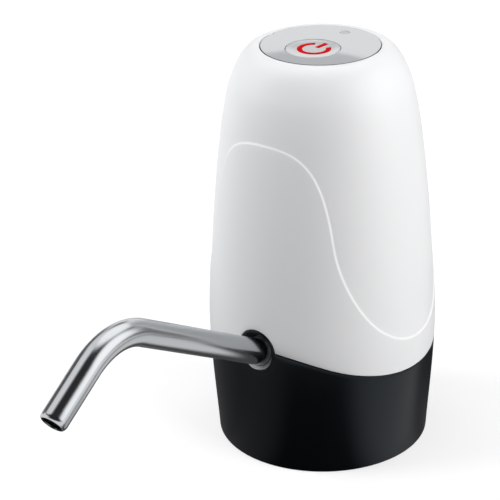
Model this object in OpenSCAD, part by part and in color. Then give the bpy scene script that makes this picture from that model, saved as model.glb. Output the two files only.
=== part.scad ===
// Electric water jug pump that stands on the neck of a large water bottle.
// Millimetres, +Z up, the spout points to -Y.
// The origin is the centre of the neck socket's mouth, level with the foot.

/* [Housing] */
// Overall height, from the foot to the top panel
body_h = 135; // [132:1:150]
// Widest diameter, at the waist
waist_d = 75; // [74:0.5:82]
// Height of the waist
waist_z = 42; // [40:0.5:46]
// Diameter at the foot
foot_d = 70.2; // [69.6:0.2:74]
// Diameter where the shoulder curve begins
shoulder_d = 57.3; // [56:0.1:60]
// Distance from the top down to where the shoulder curve begins
shoulder_drop = 9.5; // [8:0.1:12]
// Wall of both shells
wall = 2.2; // [1.8:0.1:2.6]
// Bevel round the foot
foot_edge = 0.6; // [0.3:0.1:1]
// Height of the parting line at the front and the back
parting_z = 43.7; // [42:0.1:45]
// Radius of the parting line's crest
parting_arc_r = 56; // [48:1:70]
// Slope of the parting line beside its crest, in degrees
parting_slope = 23.3; // [18:0.1:26]
// Open gap along the parting line
parting_gap = 0.25; // [0.1:0.05:0.5]
// Height of the lip that centres the upper shell on the base
lip_h = 3; // [2:0.5:4]
// Thickness of that lip
lip_t = 1.2; // [0.8:0.1:1.6]

/* [Raised field on the upper shell] */
// How far the lower field stands out
relief_h = 0.35; // [0.2:0.05:0.6]
// Distance from the top down to the crown of the field's edge
relief_top_drop = 23.6; // [20:0.2:30]
// Half width of the field at mid height
relief_mid_x = 22.9; // [20:0.1:26]
// Height of that half width
relief_mid_z = 80.9; // [76:0.1:86]
// Height of the field's edge at the sides
relief_side_z = 43.6; // [42:0.1:48]

/* [Neck socket] */
// Bore of the grip ring, for a 55 mm bottle neck
neck_bore_d = 55.2; // [54:0.1:56]
// Thickness of the grip ring
grip_t = 1.4; // [1:0.1:1.6]
// Height of the grip ring
grip_h = 9; // [7:0.5:10]
// Thickness of the grip ring's foot flange
grip_foot_t = 1.2; // [0.8:0.1:1.6]
// Wall of the socket
socket_wall = 1.6; // [1.2:0.1:1.8]
// Height of the deck's upper face
deck_z = 25; // [24.5:0.1:25.5]
// Thickness of the deck
deck_t = 2; // [1.6:0.1:2.4]
// Number of ribs between the socket and the skirt
rib_count = 12; // [6:1:24]
// Thickness of those ribs
rib_t = 1.4; // [1:0.1:2]

/* [Spout] */
// Outer diameter of the spout tube
spout_d = 8.5; // [8:0.1:9]
// Wall of the spout tube
spout_wall = 0.5; // [0.4:0.05:0.8]
// Rise of the root axis, in degrees
spout_rise = 28.9; // [27:0.1:31]
// Height at which the root axis leaves the body
spout_exit_z = 42.5; // [42:0.1:44]
// Straight length outside the body
spout_reach = 64; // [40:0.5:90]
// Bend radius on the centre line
spout_bend_r = 24; // [14:0.5:36]
// Angle of the bend, in degrees
spout_bend = 62.2; // [30:0.1:110]
// Straight length after the bend
spout_tip_len = 19.2; // [8:0.2:40]
// Depth of the tube inside the body
spout_insert = 17.5; // [16:0.1:18]
// Depth of the elbow's turn inside the body
elbow_depth = 20.6; // [20:0.1:21]
// Outer diameter of the collar round the spout root
collar_d = 14; // [13.6:0.1:15]
// Wall of that collar
collar_wall = 1.3; // [1:0.1:1.5]
// Depth of the bush below the collar's mouth
bush_recess = 2.4; // [1.5:0.1:3]
// Length of the bush
bush_len = 4; // [3:0.1:4.2]
// Outer diameter of the elbow
elbow_d = 14; // [13.4:0.1:14.2]
// Thickness of the spout's O-ring
seal_t = 1.8; // [1.4:0.1:1.8]

/* [Top panel and button] */
// Diameter of the top panel
panel_d = 38; // [36:0.2:40]
// Thickness of the top panel
panel_t = 1.6; // [1.2:0.1:2]
// Thickness of the ledge that carries the panel
ledge_t = 2; // [1.6:0.1:2.4]
// Width of that ledge
ledge_w = 2.7; // [1.6:0.1:3.4]
// Width of the notch in the panel's edge
notch_w = 1; // [0.6:0.1:1.6]
// Diameter of the power button
button_d = 17.4; // [15:0.1:19]
// Place of the button in front of the centre
button_y = -4.2; // [-5:0.1:-3]
// Depth of the dish in the button
dish_depth = 0.6; // [0.3:0.05:0.9]
// Width of the rim round the dish
dish_rim = 0.6; // [0.4:0.1:1]
// Thickness of the button's rim
button_t = 2.5; // [2:0.1:3]
// Diameter of the button's stem
stem_d = 5; // [4:0.1:6]
// Stroke of the button
button_travel = 0.7; // [0.4:0.05:0.8]
// Outer diameter of the power symbol
icon_d = 10.8; // [9:0.1:12]
// Width of the symbol's stroke
icon_stroke = 1.6; // [1:0.1:2]
// Opening of the symbol's ring, in degrees
icon_opening = 80; // [60:1:100]
// Depth of the symbol's inlay
icon_depth = 0.5; // [0.3:0.1:0.8]
// Diameter of the indicator window
lens_d = 3.1; // [2.6:0.1:3.6]

/* [Water path] */
// Diameter of the spigot for the intake hose
spigot_d = 8; // [7:0.1:8.4]
// Length of that spigot
spigot_len = 10; // [8:0.2:10.6]
// Bore of both fittings
water_bore_d = 5; // [4:0.1:5.4]
// Thread diameter of the inlet fitting
thread_d = 9.8; // [9:0.1:10.4]
// Diameter of the inlet fitting's flange
flange_d = 16; // [14:0.5:18]
// Thickness of that flange
flange_t = 2; // [1.5:0.1:2.4]
// Thickness of the inlet gasket
inlet_gasket_t = 0.8; // [0.5:0.1:1.2]
// Width of the inlet nut across its corners
nut_d = 16; // [14:0.5:18]
// Height of the inlet nut
nut_h = 3; // [2.5:0.1:3.5]
// Inner diameter of the hoses
hose_id = 7.2; // [6.8:0.1:7.6]
// Wall of the hoses
hose_wall = 1.6; // [1.2:0.1:1.8]
// Length of the spigots inside the hoses
barb_len = 7; // [5:0.5:8]
// Thickness of the spring clips on the hoses
clip_t = 0.8; // [0.5:0.1:1]
// Width of the spring clips
clip_w = 2; // [1.5:0.1:3]

/* [Pump] */
// Tooth size of the gears
gear_module = 1; // [0.9:0.05:1.05]
// Pressure angle of the teeth, in degrees
gear_angle = 25; // [25:1:27]
// Width of the gears
gear_w = 7.3; // [6:0.1:8]
// Play between the flanks
gear_backlash = 0.12; // [0.1:0.01:0.2]
// Wall of the pump round the gears
pump_wall = 3.3; // [2.8:0.1:3.5]
// Thickness of the pump body above the gears
pump_roof = 3; // [2.6:0.1:4]
// Thickness of the pump gasket
pump_gasket_t = 0.5; // [0.3:0.1:0.8]
// Thickness of the pump cover
pump_cover_t = 3.5; // [3:0.1:4]
// Diameter of the pump's ports in plan
port_d = 13; // [12:0.5:13.5]
// Diameter of the idler pin
idler_d = 2; // [1.6:0.1:2.4]
// Height of the shaft seal
shaft_seal_h = 1.8; // [1.4:0.1:2]
// Diameter of the shaft seal
shaft_seal_d = 6.4; // [5:0.1:6.6]

/* [Motor] */
// Diameter of the motor can
motor_d = 24.4; // [22:0.2:26]
// Length of the motor can
motor_len = 25.5; // [24:0.5:32]
// Sheet thickness of the can
motor_sheet = 0.8; // [0.6:0.1:1]
// Thickness of the motor's end cap
motor_cap_t = 5.5; // [5:0.1:7]
// Diameter of the bearing boss
motor_boss_d = 6.4; // [6:0.1:7]
// Diameter of the shaft
shaft_d = 2; // [1.6:0.1:2.4]
// Diameter of the bearing bushes
bearing_d = 5; // [4.4:0.1:5.4]
// Diameter of the armature
armature_d = 16.4; // [15:0.2:17]
// Number of armature poles
pole_count = 3; // [3:2:5]
// Diameter of the commutator
commutator_d = 6; // [5:0.1:6.4]
// Thickness of the magnets
magnet_t = 2.4; // [1.8:0.1:2.6]
// Angle that each magnet covers, in degrees
magnet_angle = 130; // [110:1:150]
// Distance between the two motor screws
motor_screw_pitch = 16; // [15:0.5:17]

/* [Battery and chassis] */
// Diameter of the cell
cell_d = 18.4; // [17:0.2:18.6]
// Length of the cell
cell_len = 65; // [60:0.5:66]
// Wall of the sleeve that holds the cell
sleeve_t = 1.2; // [1:0.1:1.4]
// Length of the sleeve
sleeve_len = 64; // [50:1:66]
// Width of the sleeve's open slot
sleeve_slot = 8; // [6:0.5:10]
// Sideways place of the cell
cell_x = 10; // [9.5:0.1:10.5]
// Place of the cell behind the centre
cell_y = 16; // [15.8:0.1:16.4]
// Thickness of the contact tabs
tab_t = 0.3; // [0.2:0.05:0.5]
// Width of the contact tabs
tab_w = 5; // [4:0.5:6]
// Height of the chassis plate's lower face
plate_z = 69; // [68:0.5:71]
// Thickness of the chassis plate
plate_t = 2.5; // [2:0.1:3]
// Diameter of the screw posts
post_d = 7; // [6:0.1:7]
// Diameter of the leads
lead_d = 1.6; // [1.2:0.1:2]

/* [Control board] */
// Diameter of the board
board_d = 48; // [44:0.5:49]
// Thickness of the board
board_t = 1.6; // [1.2:0.1:2]
// Distance from the top down to the board's upper face
board_drop = 12.4; // [12:0.1:13.5]
// Width of the push switch
switch_w = 6; // [5:0.1:7]
// Height of the push switch's body
switch_h = 3.3; // [3:0.1:4]
// Diameter of the switch plunger
plunger_d = 3.5; // [3:0.1:4]
// Height of the plunger above the switch
plunger_rise = 1.2; // [1:0.1:1.6]
// Diameter of the indicator LED
led_d = 3; // [2.6:0.1:3.4]
// Height of the indicator LED
led_h = 5.3; // [4:0.1:5.6]
// Width of the charging socket
usb_w = 7.6; // [7:0.1:9]
// Height of the charging socket
usb_h = 2.8; // [2.6:0.1:3.2]
// Depth of the charging socket
usb_len = 5.8; // [5:0.1:6]
// Distance from the centre to the charging socket's mouth
usb_mouth_y = 27.2; // [26.8:0.1:27.4]
// Sheet thickness of the charging socket
usb_sheet = 0.35; // [0.3:0.05:0.5]

/* [Screws] */
// Shank diameter of the case and chassis screws
case_screw_d = 2.8; // [2.4:0.1:3]
// Length of the case and chassis screws
case_screw_len = 14; // [10:0.5:18]
// Shank diameter of the pump and motor screws
pump_screw_d = 2.4; // [2:0.1:2.6]
// Shank diameter of the board screws
board_screw_d = 1.9; // [1.6:0.1:2]
// Length of the board screws
board_screw_len = 7; // [6:0.5:8]
// Head diameter for each millimetre of shank
head_ratio = 1.9; // [1.7:0.05:2]
// Head height for each millimetre of shank
head_h_ratio = 0.65; // [0.5:0.05:0.7]

/* [Clearances] */
// Gap round the top panel
panel_gap = 0.15; // [0.1:0.05:0.25]
// Gap round the button
button_gap = 0.15; // [0.1:0.05:0.25]
// Radial play of turning and sliding fits
run_gap = 0.05; // [0.03:0.01:0.08]
// Gap between fixed pieces that are pushed together
seat_gap = 0.1; // [0.05:0.05:0.2]
// Gap between moving pieces and what they pass
free_gap = 0.3; // [0.2:0.05:0.5]

/* [Hidden] */
$fn = 96;
fine = 0.01;
far = 100;

// Turned body: handles of its three curves
curve_steps = 8;
foot_flare = 0.9;
waist_reach = 13.1;
shoulder_lean = 0.412;
shoulder_reach_down = 12.8;
shoulder_reach_up = 8.3;
crown_reach = 3.5;
shoulder_normal = [0.925, 0.38];
foot_r = foot_d / 2;
waist_r = waist_d / 2;
shoulder_r = shoulder_d / 2;
shoulder_z = body_h - shoulder_drop;
seat_r = panel_d / 2 + panel_gap;
inner_inset = wall + relief_h;
seat_z = body_h - panel_t;
ceiling_z = seat_z - ledge_t;

// Raised field: handles of its edge
relief_top_z = body_h - relief_top_drop;
relief_crown = 13.7;
relief_fall = [3.7, 24.6];
relief_turn = [1.7, 11.2];
relief_run = [6.1, 9.1];

// Neck socket and deck
neck_r = neck_bore_d / 2;
socket_r = neck_r + grip_t;
deck_under_z = deck_z - deck_t;
skirt_r = foot_r - inner_inset;

// Spout tip, whose wall is a little thicker than the bend's
tip_swell = 0.05;
tip_overlap = 0.3;

// Spout root, measured inwards along its axis from the body's surface
spout_r = spout_d / 2;
collar_bore_r = collar_d / 2 - collar_wall;
bush_top = -bush_recess;
bush_bottom = bush_top - bush_len;
collar_bottom = bush_bottom - free_gap;
elbow_top = collar_bottom - free_gap;
elbow_bore_r = spout_r + run_gap;
elbow_knuckle = 0.6;
seal_mid = (elbow_top - spout_insert) / 2;
outlet_y = -(waist_r - elbow_depth * cos(spout_rise));
elbow_z = spout_exit_z - elbow_depth * sin(spout_rise);

// Screws
screw_gap = 0.2;
post_r = post_d / 2;
case_screw_ring = 26;
post_rib_len = waist_r - inner_inset - case_screw_ring;
case_screw_angles = [0, 110, 180];
chassis_posts = [[-19, 9], [21.5, -10], [-20, -15]];
board_screw_ring = 20.5;
board_screw_angles = [30, 150, 270];
board_boss_d = 5.2;
recess_depth = 0.8;
recess_w = 0.6;

// Gears and pump, stacked downwards from the chassis plate
gear_teeth = 12;
pitch_r = gear_module * gear_teeth / 2;
gear_base_r = pitch_r * cos(gear_angle);
tooth_rise = 0.9;
tooth_drop = 1.15;
gear_tip_r = pitch_r + tooth_rise * gear_module;
gear_root_r = pitch_r - tooth_drop * gear_module;
flank_steps = 5;
inlet_y = 0;
gear_y = (inlet_y + outlet_y) / 2;
drive_x = -pitch_r;
driven_x = pitch_r;
gear_pocket_r = gear_tip_r + seat_gap;
pump_body_z = plate_z - pump_roof - gear_w - 2 * seat_gap;
pocket_top_z = plate_z - pump_roof;
pump_gasket_z = pump_body_z - pump_gasket_t;
pump_cover_z = pump_gasket_z - pump_cover_t;
gear_z = pump_body_z + seat_gap;
idler_hold = 2;
ear_wall = 2;
ear_out = 0.5;
ear_side = 1.6;
ear_r = pump_screw_d / 2 + ear_wall;
ear_x = pitch_r + gear_pocket_r + ear_out;
ear_dy = gear_pocket_r + ear_side;
ear_places = [for (x = [-ear_x, ear_x], dy = [-ear_dy, ear_dy]) [x, gear_y + dy]];
port_channel_w = 4.4;
port_channel_h = 4;

// Motor, upwards from the chassis plate
motor_z = plate_z + plate_t;
motor_r = motor_d / 2;
motor_cap_z = motor_z + motor_len;
motor_top_z = motor_cap_z + motor_cap_t;
armature_lift = 5;
armature_ends = 9.5;
armature_z = motor_z + armature_lift;
armature_h = motor_len - armature_ends;
winding_h = 2.5;
commutator_z = armature_z + armature_h + winding_h;
commutator_h = 4;
bearing_h = 2.6;
terminal_x = 6.5;
terminal_h = 3.5;
terminal_t = 0.5;
terminal_w = 2.2;
shaft_end = 1;
shaft_top_z = motor_top_z + shaft_end;
motor_screw_end = 1;
plate_rim = 1;

// Inlet fitting, hoses and clips
flange_z = deck_under_z - inlet_gasket_t - flange_t;
spigot_tip_z = flange_z - spigot_len;
nut_top_z = deck_z + nut_h;
hose_r = hose_id / 2;
inlet_barb_top_z = nut_top_z + barb_len;
clip_r = hose_r + hose_wall + clip_t;
elbow_crest_z = elbow_z + clip_r * tan(spout_rise) + elbow_d / 2 / cos(spout_rise);
outlet_hose_z = elbow_crest_z + seat_gap;
outlet_barb_len = (pump_cover_z - outlet_hose_z) / 2 - free_gap;
barb_lens = [[inlet_y, barb_len], [outlet_y, outlet_barb_len]];
spigot_groove = 0.5;
spigot_groove_pitch = 2.4;

// Battery, upwards from the sleeve's floor
sleeve_r = cell_d / 2 + seat_gap;
sleeve_foot_h = 10;
sleeve_floor_z = deck_z + sleeve_foot_h;
sleeve_floor_t = 1.2;
cell_z = sleeve_floor_z + sleeve_floor_t + tab_t + seat_gap;
lead_angle = atan2(cell_y, cell_x) + 90;
lead_r = lead_d / 2;
lead_sides = 8;
lead_slack = 2;
crimp_w = 3.2;
crimp_len = 4.2;
crimp_roof = 0.8;
lead_out = cell_d / 2 + lead_r + free_gap;
lead_x = cell_x + lead_out * cos(lead_angle);
lead_y = cell_y + lead_out * sin(lead_angle);

// Board, switch, LED and button, downwards from the panel
board_z = body_h - board_drop;
board_under_z = board_z - board_t;
switch_top_z = board_z + switch_h;
plunger_top_z = switch_top_z + plunger_rise;
plunger_hidden = 1.1;
button_r = button_d / 2;
button_flange_w = 0.9;
button_flange_r = button_r + button_flange_w;
button_flange_t = 0.9;
button_sink = 0.1;
button_top_z = body_h - button_sink;
button_rim_z = button_top_z - button_t;
dish_r = button_r - dish_rim;
dish_ball_r = (dish_r * dish_r + dish_depth * dish_depth) / (2 * dish_depth);
icon_floor_z = button_top_z - dish_depth - icon_depth;
icon_bar_from = 1.4;
lens_flange_t = 0.9;
lens_flange_w = 0.8;
lens_stub = 3;
lens_y = seat_r - ledge_w - lens_d / 2 - lens_flange_w - free_gap;
usb_mid_z = board_z + usb_h / 2;
usb_slot_gap = 0.8;
usb_back = 1;
board_pads = [[8, 11], [4, 19], [-11, -6], [-2, -6]];

function bez(a, b, c, d, t) =
    pow(1 - t, 3) * a + 3 * pow(1 - t, 2) * t * b + 3 * (1 - t) * t * t * c + t * t * t * d;

function curve(a, b, c, d) = [for (i = [0:curve_steps]) bez(a, b, c, d, i / curve_steps)];

function tail(points) = [for (i = [1:len(points) - 1]) points[i]];

function flipped(points) = [for (i = [len(points) - 1:-1:0]) [-points[i].x, points[i].y]];

// Half outline of the turned body, moved inwards by inset, with its crown at top_z
function skin(inset, top_z) =
    let (
        edge = inset < wall / 2 ? foot_edge : 0,
        foot = [foot_r - inset, edge],
        waist = [waist_r - inset, waist_z],
        shoulder = [shoulder_r, shoulder_z] - inset * shoulder_normal,
        crown = [seat_r, top_z]
    )
    concat(
        [[0, 0]],
        edge > 0 ? [[foot.x - edge, 0]] : [],
        curve(foot, [foot.x + foot_flare, waist_z / 3], [waist.x, waist_z * 2 / 3], waist),
        tail(curve(
            waist,
            waist + [0, waist_reach],
            shoulder + shoulder_reach_down * [shoulder_lean, -1],
            shoulder
        )),
        tail(curve(
            shoulder,
            shoulder + shoulder_reach_up * [-shoulder_lean, 1],
            crown + [crown_reach, 0],
            crown
        )),
        [[0, top_z]]
    );

// Right half of the raised field's edge, seen from the front
function relief_edge() =
    let (
        top = [0, relief_top_z],
        mid = [relief_mid_x, relief_mid_z],
        side = [waist_r, relief_side_z]
    )
    concat(
        curve(top, top + [relief_crown, 0], mid + [-relief_fall.x, relief_fall.y], mid),
        tail(curve(
            mid,
            mid + [relief_turn.x, -relief_turn.y],
            side + [-relief_run.x, relief_run.y],
            side
        )),
        [side + [relief_run.x, -relief_run.y]]
    );

function involute(r) =
    let (a = acos(gear_base_r / r))
    tan(a) * 180 / PI - a;

function flank_angle(r) =
    90 / gear_teeth - gear_backlash / pitch_r / 2 * 180 / PI + involute(pitch_r) - involute(r);

function tooth(at) =
    let (
        radii = [for (i = [0:flank_steps]) gear_base_r + (gear_tip_r - gear_base_r) * i / flank_steps],
        foot_angle = flank_angle(gear_base_r)
    )
    concat(
        [gear_root_r * [cos(at - foot_angle), sin(at - foot_angle)]],
        [for (r = radii) r * [cos(at - flank_angle(r)), sin(at - flank_angle(r))]],
        [
            for (i = [flank_steps:-1:0])
                let (a = at + flank_angle(radii[i]))
                radii[i] * [cos(a), sin(a)]
        ],
        [gear_root_r * [cos(at + foot_angle), sin(at + foot_angle)]]
    );

module along_y(length) {
    rotate([90, 0, 0]) linear_extrude(length, center = true) children();
}

// Half profile of the wall between two insets, from z0 up to z1
module wall_profile(outer, inner, z0, z1) {
    intersection() {
        difference() {
            polygon(skin(outer, body_h));
            polygon(skin(inner, ceiling_z));
        }
        translate([0, z0]) square([far, z1 - z0]);
    }
}

// Everything under the parting line: a round crest with straight sides, seen from the front
module below_parting(lift) {
    crest_x = parting_arc_r * sin(parting_slope);
    crest_z = parting_z + lift - parting_arc_r * (1 - cos(parting_slope));
    end_z = crest_z - (far - crest_x) * tan(parting_slope);
    along_y(2 * far) {
        polygon([
            [-far, end_z],
            [-crest_x, crest_z],
            [crest_x, crest_z],
            [far, end_z],
            [far, -far],
            [-far, -far]
        ]);
        translate([0, parting_z + lift - parting_arc_r]) circle(r = parting_arc_r);
    }
}

module raised_field() {
    right = relief_edge();
    along_y(2 * far) polygon(concat(flipped(right), tail(right), [[far, -far], [-far, -far]]));
}

// Axis of the spout's root, +Z outwards, zero where it leaves the body
module on_spout_axis() {
    translate([0, -waist_r, spout_exit_z]) rotate([90 - spout_rise, 0, 0]) children();
}

module ring(outer_r, inner_r, z, h) {
    translate([0, 0, z]) difference() {
        cylinder(r = outer_r, h = h);
        translate([0, 0, -fine]) cylinder(r = inner_r, h = h + 2 * fine);
    }
}

// Pan head screw pointing up, with its head below zero
module screw(shank_d, length) {
    head_h = head_h_ratio * shank_d;
    difference() {
        union() {
            translate([0, 0, -head_h]) cylinder(d = head_ratio * shank_d, h = head_h);
            cylinder(d = shank_d, h = length);
        }
        for (turn = [0, 90]) {
            rotate(turn) translate([-shank_d / 2, -recess_w / 2, -head_h - fine])
                cube([shank_d, recess_w, recess_depth]);
        }
    }
}

module on_case_screws() {
    for (a = case_screw_angles) rotate(a) translate([case_screw_ring, 0, 0]) children();
}

module on_chassis_posts() {
    for (p = chassis_posts) translate(p) children();
}

module on_board_screws() {
    for (a = board_screw_angles) rotate(a) translate([board_screw_ring, 0, 0]) children();
}

module on_ears() {
    for (p = ear_places) translate(p) children();
}

module on_motor_screws() {
    for (dy = [-1, 1] * motor_screw_pitch / 2) translate([drive_x, gear_y + dy, 0]) children();
}

module on_motor_axis() {
    translate([drive_x, gear_y, 0]) children();
}

module gear(bore_r) {
    linear_extrude(gear_w) difference() {
        polygon([for (i = [0:gear_teeth - 1]) each tooth(i * 360 / gear_teeth)]);
        circle(r = bore_r);
    }
}

// Upright lead whose rings stay level
module lead(points) {
    rings = [
        for (p = points, i = [0:lead_sides - 1])
            p + lead_r * [cos(i * 360 / lead_sides), sin(i * 360 / lead_sides), 0]
    ];
    count = len(points);
    sides = [
        for (k = [0:count - 2], i = [0:lead_sides - 1])
            let (j = (i + 1) % lead_sides)
            each [
                [k * lead_sides + i, (k + 1) * lead_sides + i, (k + 1) * lead_sides + j],
                [k * lead_sides + i, (k + 1) * lead_sides + j, k * lead_sides + j]
            ]
    ];
    bottom = [for (i = [1:lead_sides - 2]) [0, i, i + 1]];
    last = (count - 1) * lead_sides;
    top = [for (i = [1:lead_sides - 2]) [last, last + i + 1, last + i]];
    polyhedron(rings, concat(sides, bottom, top));
}

module base_shell() {
    rib_len = foot_r - foot_edge - socket_r;
    rib_h = deck_under_z - grip_foot_t + fine;
    color([0.09, 0.1, 0.11]) difference() {
        union() {
            // skirt, deck and neck socket
            difference() {
                rotate_extrude() {
                    wall_profile(0, inner_inset, 0, parting_z);
                    intersection() {
                        polygon(skin(wall / 2, body_h));
                        translate([thread_d / 2 + seat_gap, deck_under_z]) square([far, deck_t]);
                    }
                    translate([socket_r, grip_foot_t]) square([socket_wall, rib_h]);
                }
                difference() {
                    translate([-far / 2, -far / 2, deck_z]) cube([far, far, far]);
                    below_parting(-parting_gap / 2);
                }
            }
            for (i = [0:rib_count - 1]) {
                rotate((i + 0.5) * 360 / rib_count)
                    translate([socket_r + seat_gap, -rib_t / 2, grip_foot_t])
                        cube([rib_len - seat_gap, rib_t, rib_h]);
            }
            // lip that centres the upper shell, and the land that joins it to the wall
            lip_band(inner_inset + seat_gap, lip_h);
            lip_band(inner_inset - wall / 4, -parting_gap);
            // collar round the spout root
            intersection() {
                rotate_extrude() wall_profile(0, waist_r - fine, deck_z, parting_z + collar_d);
                on_spout_axis() translate([0, 0, collar_bottom]) cylinder(d = collar_d, h = far);
            }
        }
        on_spout_axis() translate([0, 0, collar_bottom - far / 10]) cylinder(r = collar_bore_r, h = far);
        translate([0, 0, deck_under_z - fine]) {
            on_case_screws() cylinder(d = case_screw_d + 2 * screw_gap, h = deck_t + 2 * fine);
            on_chassis_posts() cylinder(d = case_screw_d + 2 * screw_gap, h = deck_t + 2 * fine);
        }
    }
}

// Band inside the wall that follows the parting line, from below it up to a given lift
module lip_band(outer, lift) {
    difference() {
        intersection() {
            rotate_extrude()
                wall_profile(outer, inner_inset + seat_gap + lip_t, deck_z, parting_z + lip_h);
            below_parting(lift);
        }
        below_parting(-lip_h - parting_gap);
    }
}

module upper_shell() {
    rib_z = parting_z + lip_h + free_gap;
    color([0.95, 0.95, 0.95]) difference() {
        union() {
            // wall with the panel's seat, and the raised field on it
            rotate_extrude() difference() {
                wall_profile(relief_h, inner_inset, deck_z, body_h);
                translate([0, seat_z]) square([seat_r, far]);
                square([seat_r - ledge_w, body_h]);
            }
            intersection() {
                rotate_extrude() wall_profile(0, relief_h + wall / 2, deck_z, relief_top_z);
                raised_field();
            }
        }
        below_parting(parting_gap / 2);
        // mouth for the spout's collar
        on_spout_axis() translate([0, 0, collar_bottom]) cylinder(d = collar_d + 2 * seat_gap, h = far);
        // slot for the charging plug
        translate([0, usb_mouth_y, usb_mid_z]) along_y(usb_len * 2) {
            for (side = [-1, 1]) {
                translate([side * (usb_w - usb_h) / 2, 0]) circle(d = usb_h + 2 * usb_slot_gap);
            }
            square([usb_w - usb_h, usb_h + 2 * usb_slot_gap], center = true);
        }
    }
    color([0.95, 0.95, 0.95]) {
        // posts for the case screws, each on a rib from the wall
        on_case_screws() difference() {
            union() {
                translate([0, 0, deck_z]) cylinder(r = post_r, h = plate_z - deck_z);
                translate([0, -rib_t / 2, rib_z]) cube([post_rib_len, rib_t, plate_z - rib_z]);
            }
            translate([0, 0, deck_z - fine]) cylinder(d = case_screw_d, h = case_screw_len);
        }
        // bosses for the control board
        on_board_screws() translate([0, 0, board_z]) difference() {
            cylinder(d = board_boss_d, h = ceiling_z - board_z + ledge_t / 2);
            translate([0, 0, -fine]) cylinder(d = board_screw_d, h = board_screw_len);
        }
    }
}

module neck_grip() {
    color([0.16, 0.16, 0.17]) {
        difference() {
            union() {
                cylinder(r = socket_r, h = grip_h);
                cylinder(r = skirt_r - seat_gap, h = grip_foot_t);
            }
            translate([0, 0, -fine]) cylinder(r = neck_r, h = grip_h + 2 * fine);
        }
    }
}

module inlet_fitting() {
    color([0.9, 0.9, 0.88]) difference() {
        union() {
            translate([0, 0, spigot_tip_z]) cylinder(d = spigot_d, h = spigot_len);
            translate([0, 0, flange_z]) cylinder(d = flange_d, h = flange_t);
            translate([0, 0, flange_z]) cylinder(d = thread_d, h = nut_top_z - flange_z);
            translate([0, 0, flange_z]) cylinder(d = hose_id, h = inlet_barb_top_z - flange_z);
        }
        translate([0, 0, spigot_tip_z - fine]) cylinder(d = water_bore_d, h = far);
        // grip grooves on the spigot
        for (i = [1:3]) {
            translate([0, 0, spigot_tip_z + i * spigot_groove_pitch])
                ring(spigot_d, spigot_d / 2 - spigot_groove, 0, spigot_groove);
        }
    }
}

module inlet_gasket() {
    color([0.75, 0.3, 0.22])
        ring(flange_d / 2, thread_d / 2, deck_under_z - inlet_gasket_t, inlet_gasket_t);
}

module inlet_nut() {
    color([0.85, 0.85, 0.83]) translate([0, 0, deck_z]) difference() {
        cylinder(d = nut_d, h = nut_h, $fn = 6);
        translate([0, 0, -fine]) cylinder(d = thread_d, h = nut_h + 2 * fine);
    }
}

module suction_hose() {
    color([0.9, 0.9, 0.9, 0.8])
        ring(hose_r + hose_wall, hose_r, nut_top_z, pump_cover_z - nut_top_z);
}

module delivery_hose() {
    color([0.9, 0.9, 0.9, 0.8]) translate([0, outlet_y, 0])
        ring(hose_r + hose_wall, hose_r, outlet_hose_z, pump_cover_z - outlet_hose_z);
}

module hose_clips() {
    places = [
        [inlet_y, nut_top_z + barb_len / 2],
        [inlet_y, pump_cover_z - barb_len / 2],
        [outlet_y, outlet_hose_z + outlet_barb_len / 2],
        [outlet_y, pump_cover_z - outlet_barb_len / 2]
    ];
    color([0.7, 0.71, 0.72]) for (p = places) {
        translate([0, p.x, 0])
            ring(clip_r, hose_r + hose_wall, p.y - clip_w / 2, clip_w);
    }
}

module outlet_elbow() {
    foot_w = elbow_d * 0.65;
    foot_len = elbow_depth * cos(spout_rise) / 2;
    color([0.9, 0.9, 0.88]) difference() {
        union() {
            on_spout_axis() translate([0, 0, -elbow_depth]) {
                cylinder(d = elbow_d, h = elbow_depth + elbow_top);
                sphere(d = elbow_d + elbow_knuckle);
            }
            translate([0, outlet_y, elbow_z])
                cylinder(r = hose_r, h = outlet_hose_z - elbow_z + outlet_barb_len);
            translate([-foot_w / 2, outlet_y - foot_len, deck_z])
                cube([foot_w, foot_len, elbow_z - deck_z]);
        }
        on_spout_axis() {
            translate([0, 0, -spout_insert - run_gap]) cylinder(r = elbow_bore_r, h = far);
            translate([0, 0, -elbow_depth]) cylinder(d = water_bore_d, h = far);
            translate([0, 0, seal_mid - seal_t / 2 - run_gap])
                cylinder(r = spout_r + seal_t + 2 * run_gap, h = seal_t + 2 * run_gap);
        }
        translate([0, outlet_y, elbow_z - water_bore_d / 4]) cylinder(d = port_channel_w, h = far);
    }
}

module spout_seal() {
    color([0.12, 0.12, 0.12]) on_spout_axis() translate([0, 0, seal_mid]) rotate_extrude()
        translate([spout_r + run_gap + seal_t / 2, 0]) circle(d = seal_t, $fn = 32);
}

module spout_bush() {
    color([0.1, 0.1, 0.1]) on_spout_axis()
        ring(collar_bore_r - run_gap, spout_r + run_gap, bush_bottom, bush_len);
}

// Straight to the bend, round it and on to the tip
module spout_tube() {
    bore_r = spout_r - spout_wall;
    color([0.78, 0.79, 0.8]) on_spout_axis() {
        ring(spout_r, bore_r, -spout_insert, spout_insert + spout_reach);
        translate([0, -spout_bend_r, spout_reach]) {
            rotate([90, 0, 90]) rotate_extrude(angle = spout_bend)
                translate([spout_bend_r, 0]) difference() {
                    circle(r = spout_r);
                    circle(r = bore_r);
                }
            rotate([spout_bend, 0, 0]) translate([0, spout_bend_r, 0])
                ring(spout_r + tip_swell, bore_r - tip_swell, -tip_overlap, spout_tip_len + tip_overlap);
        }
    }
}

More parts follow.
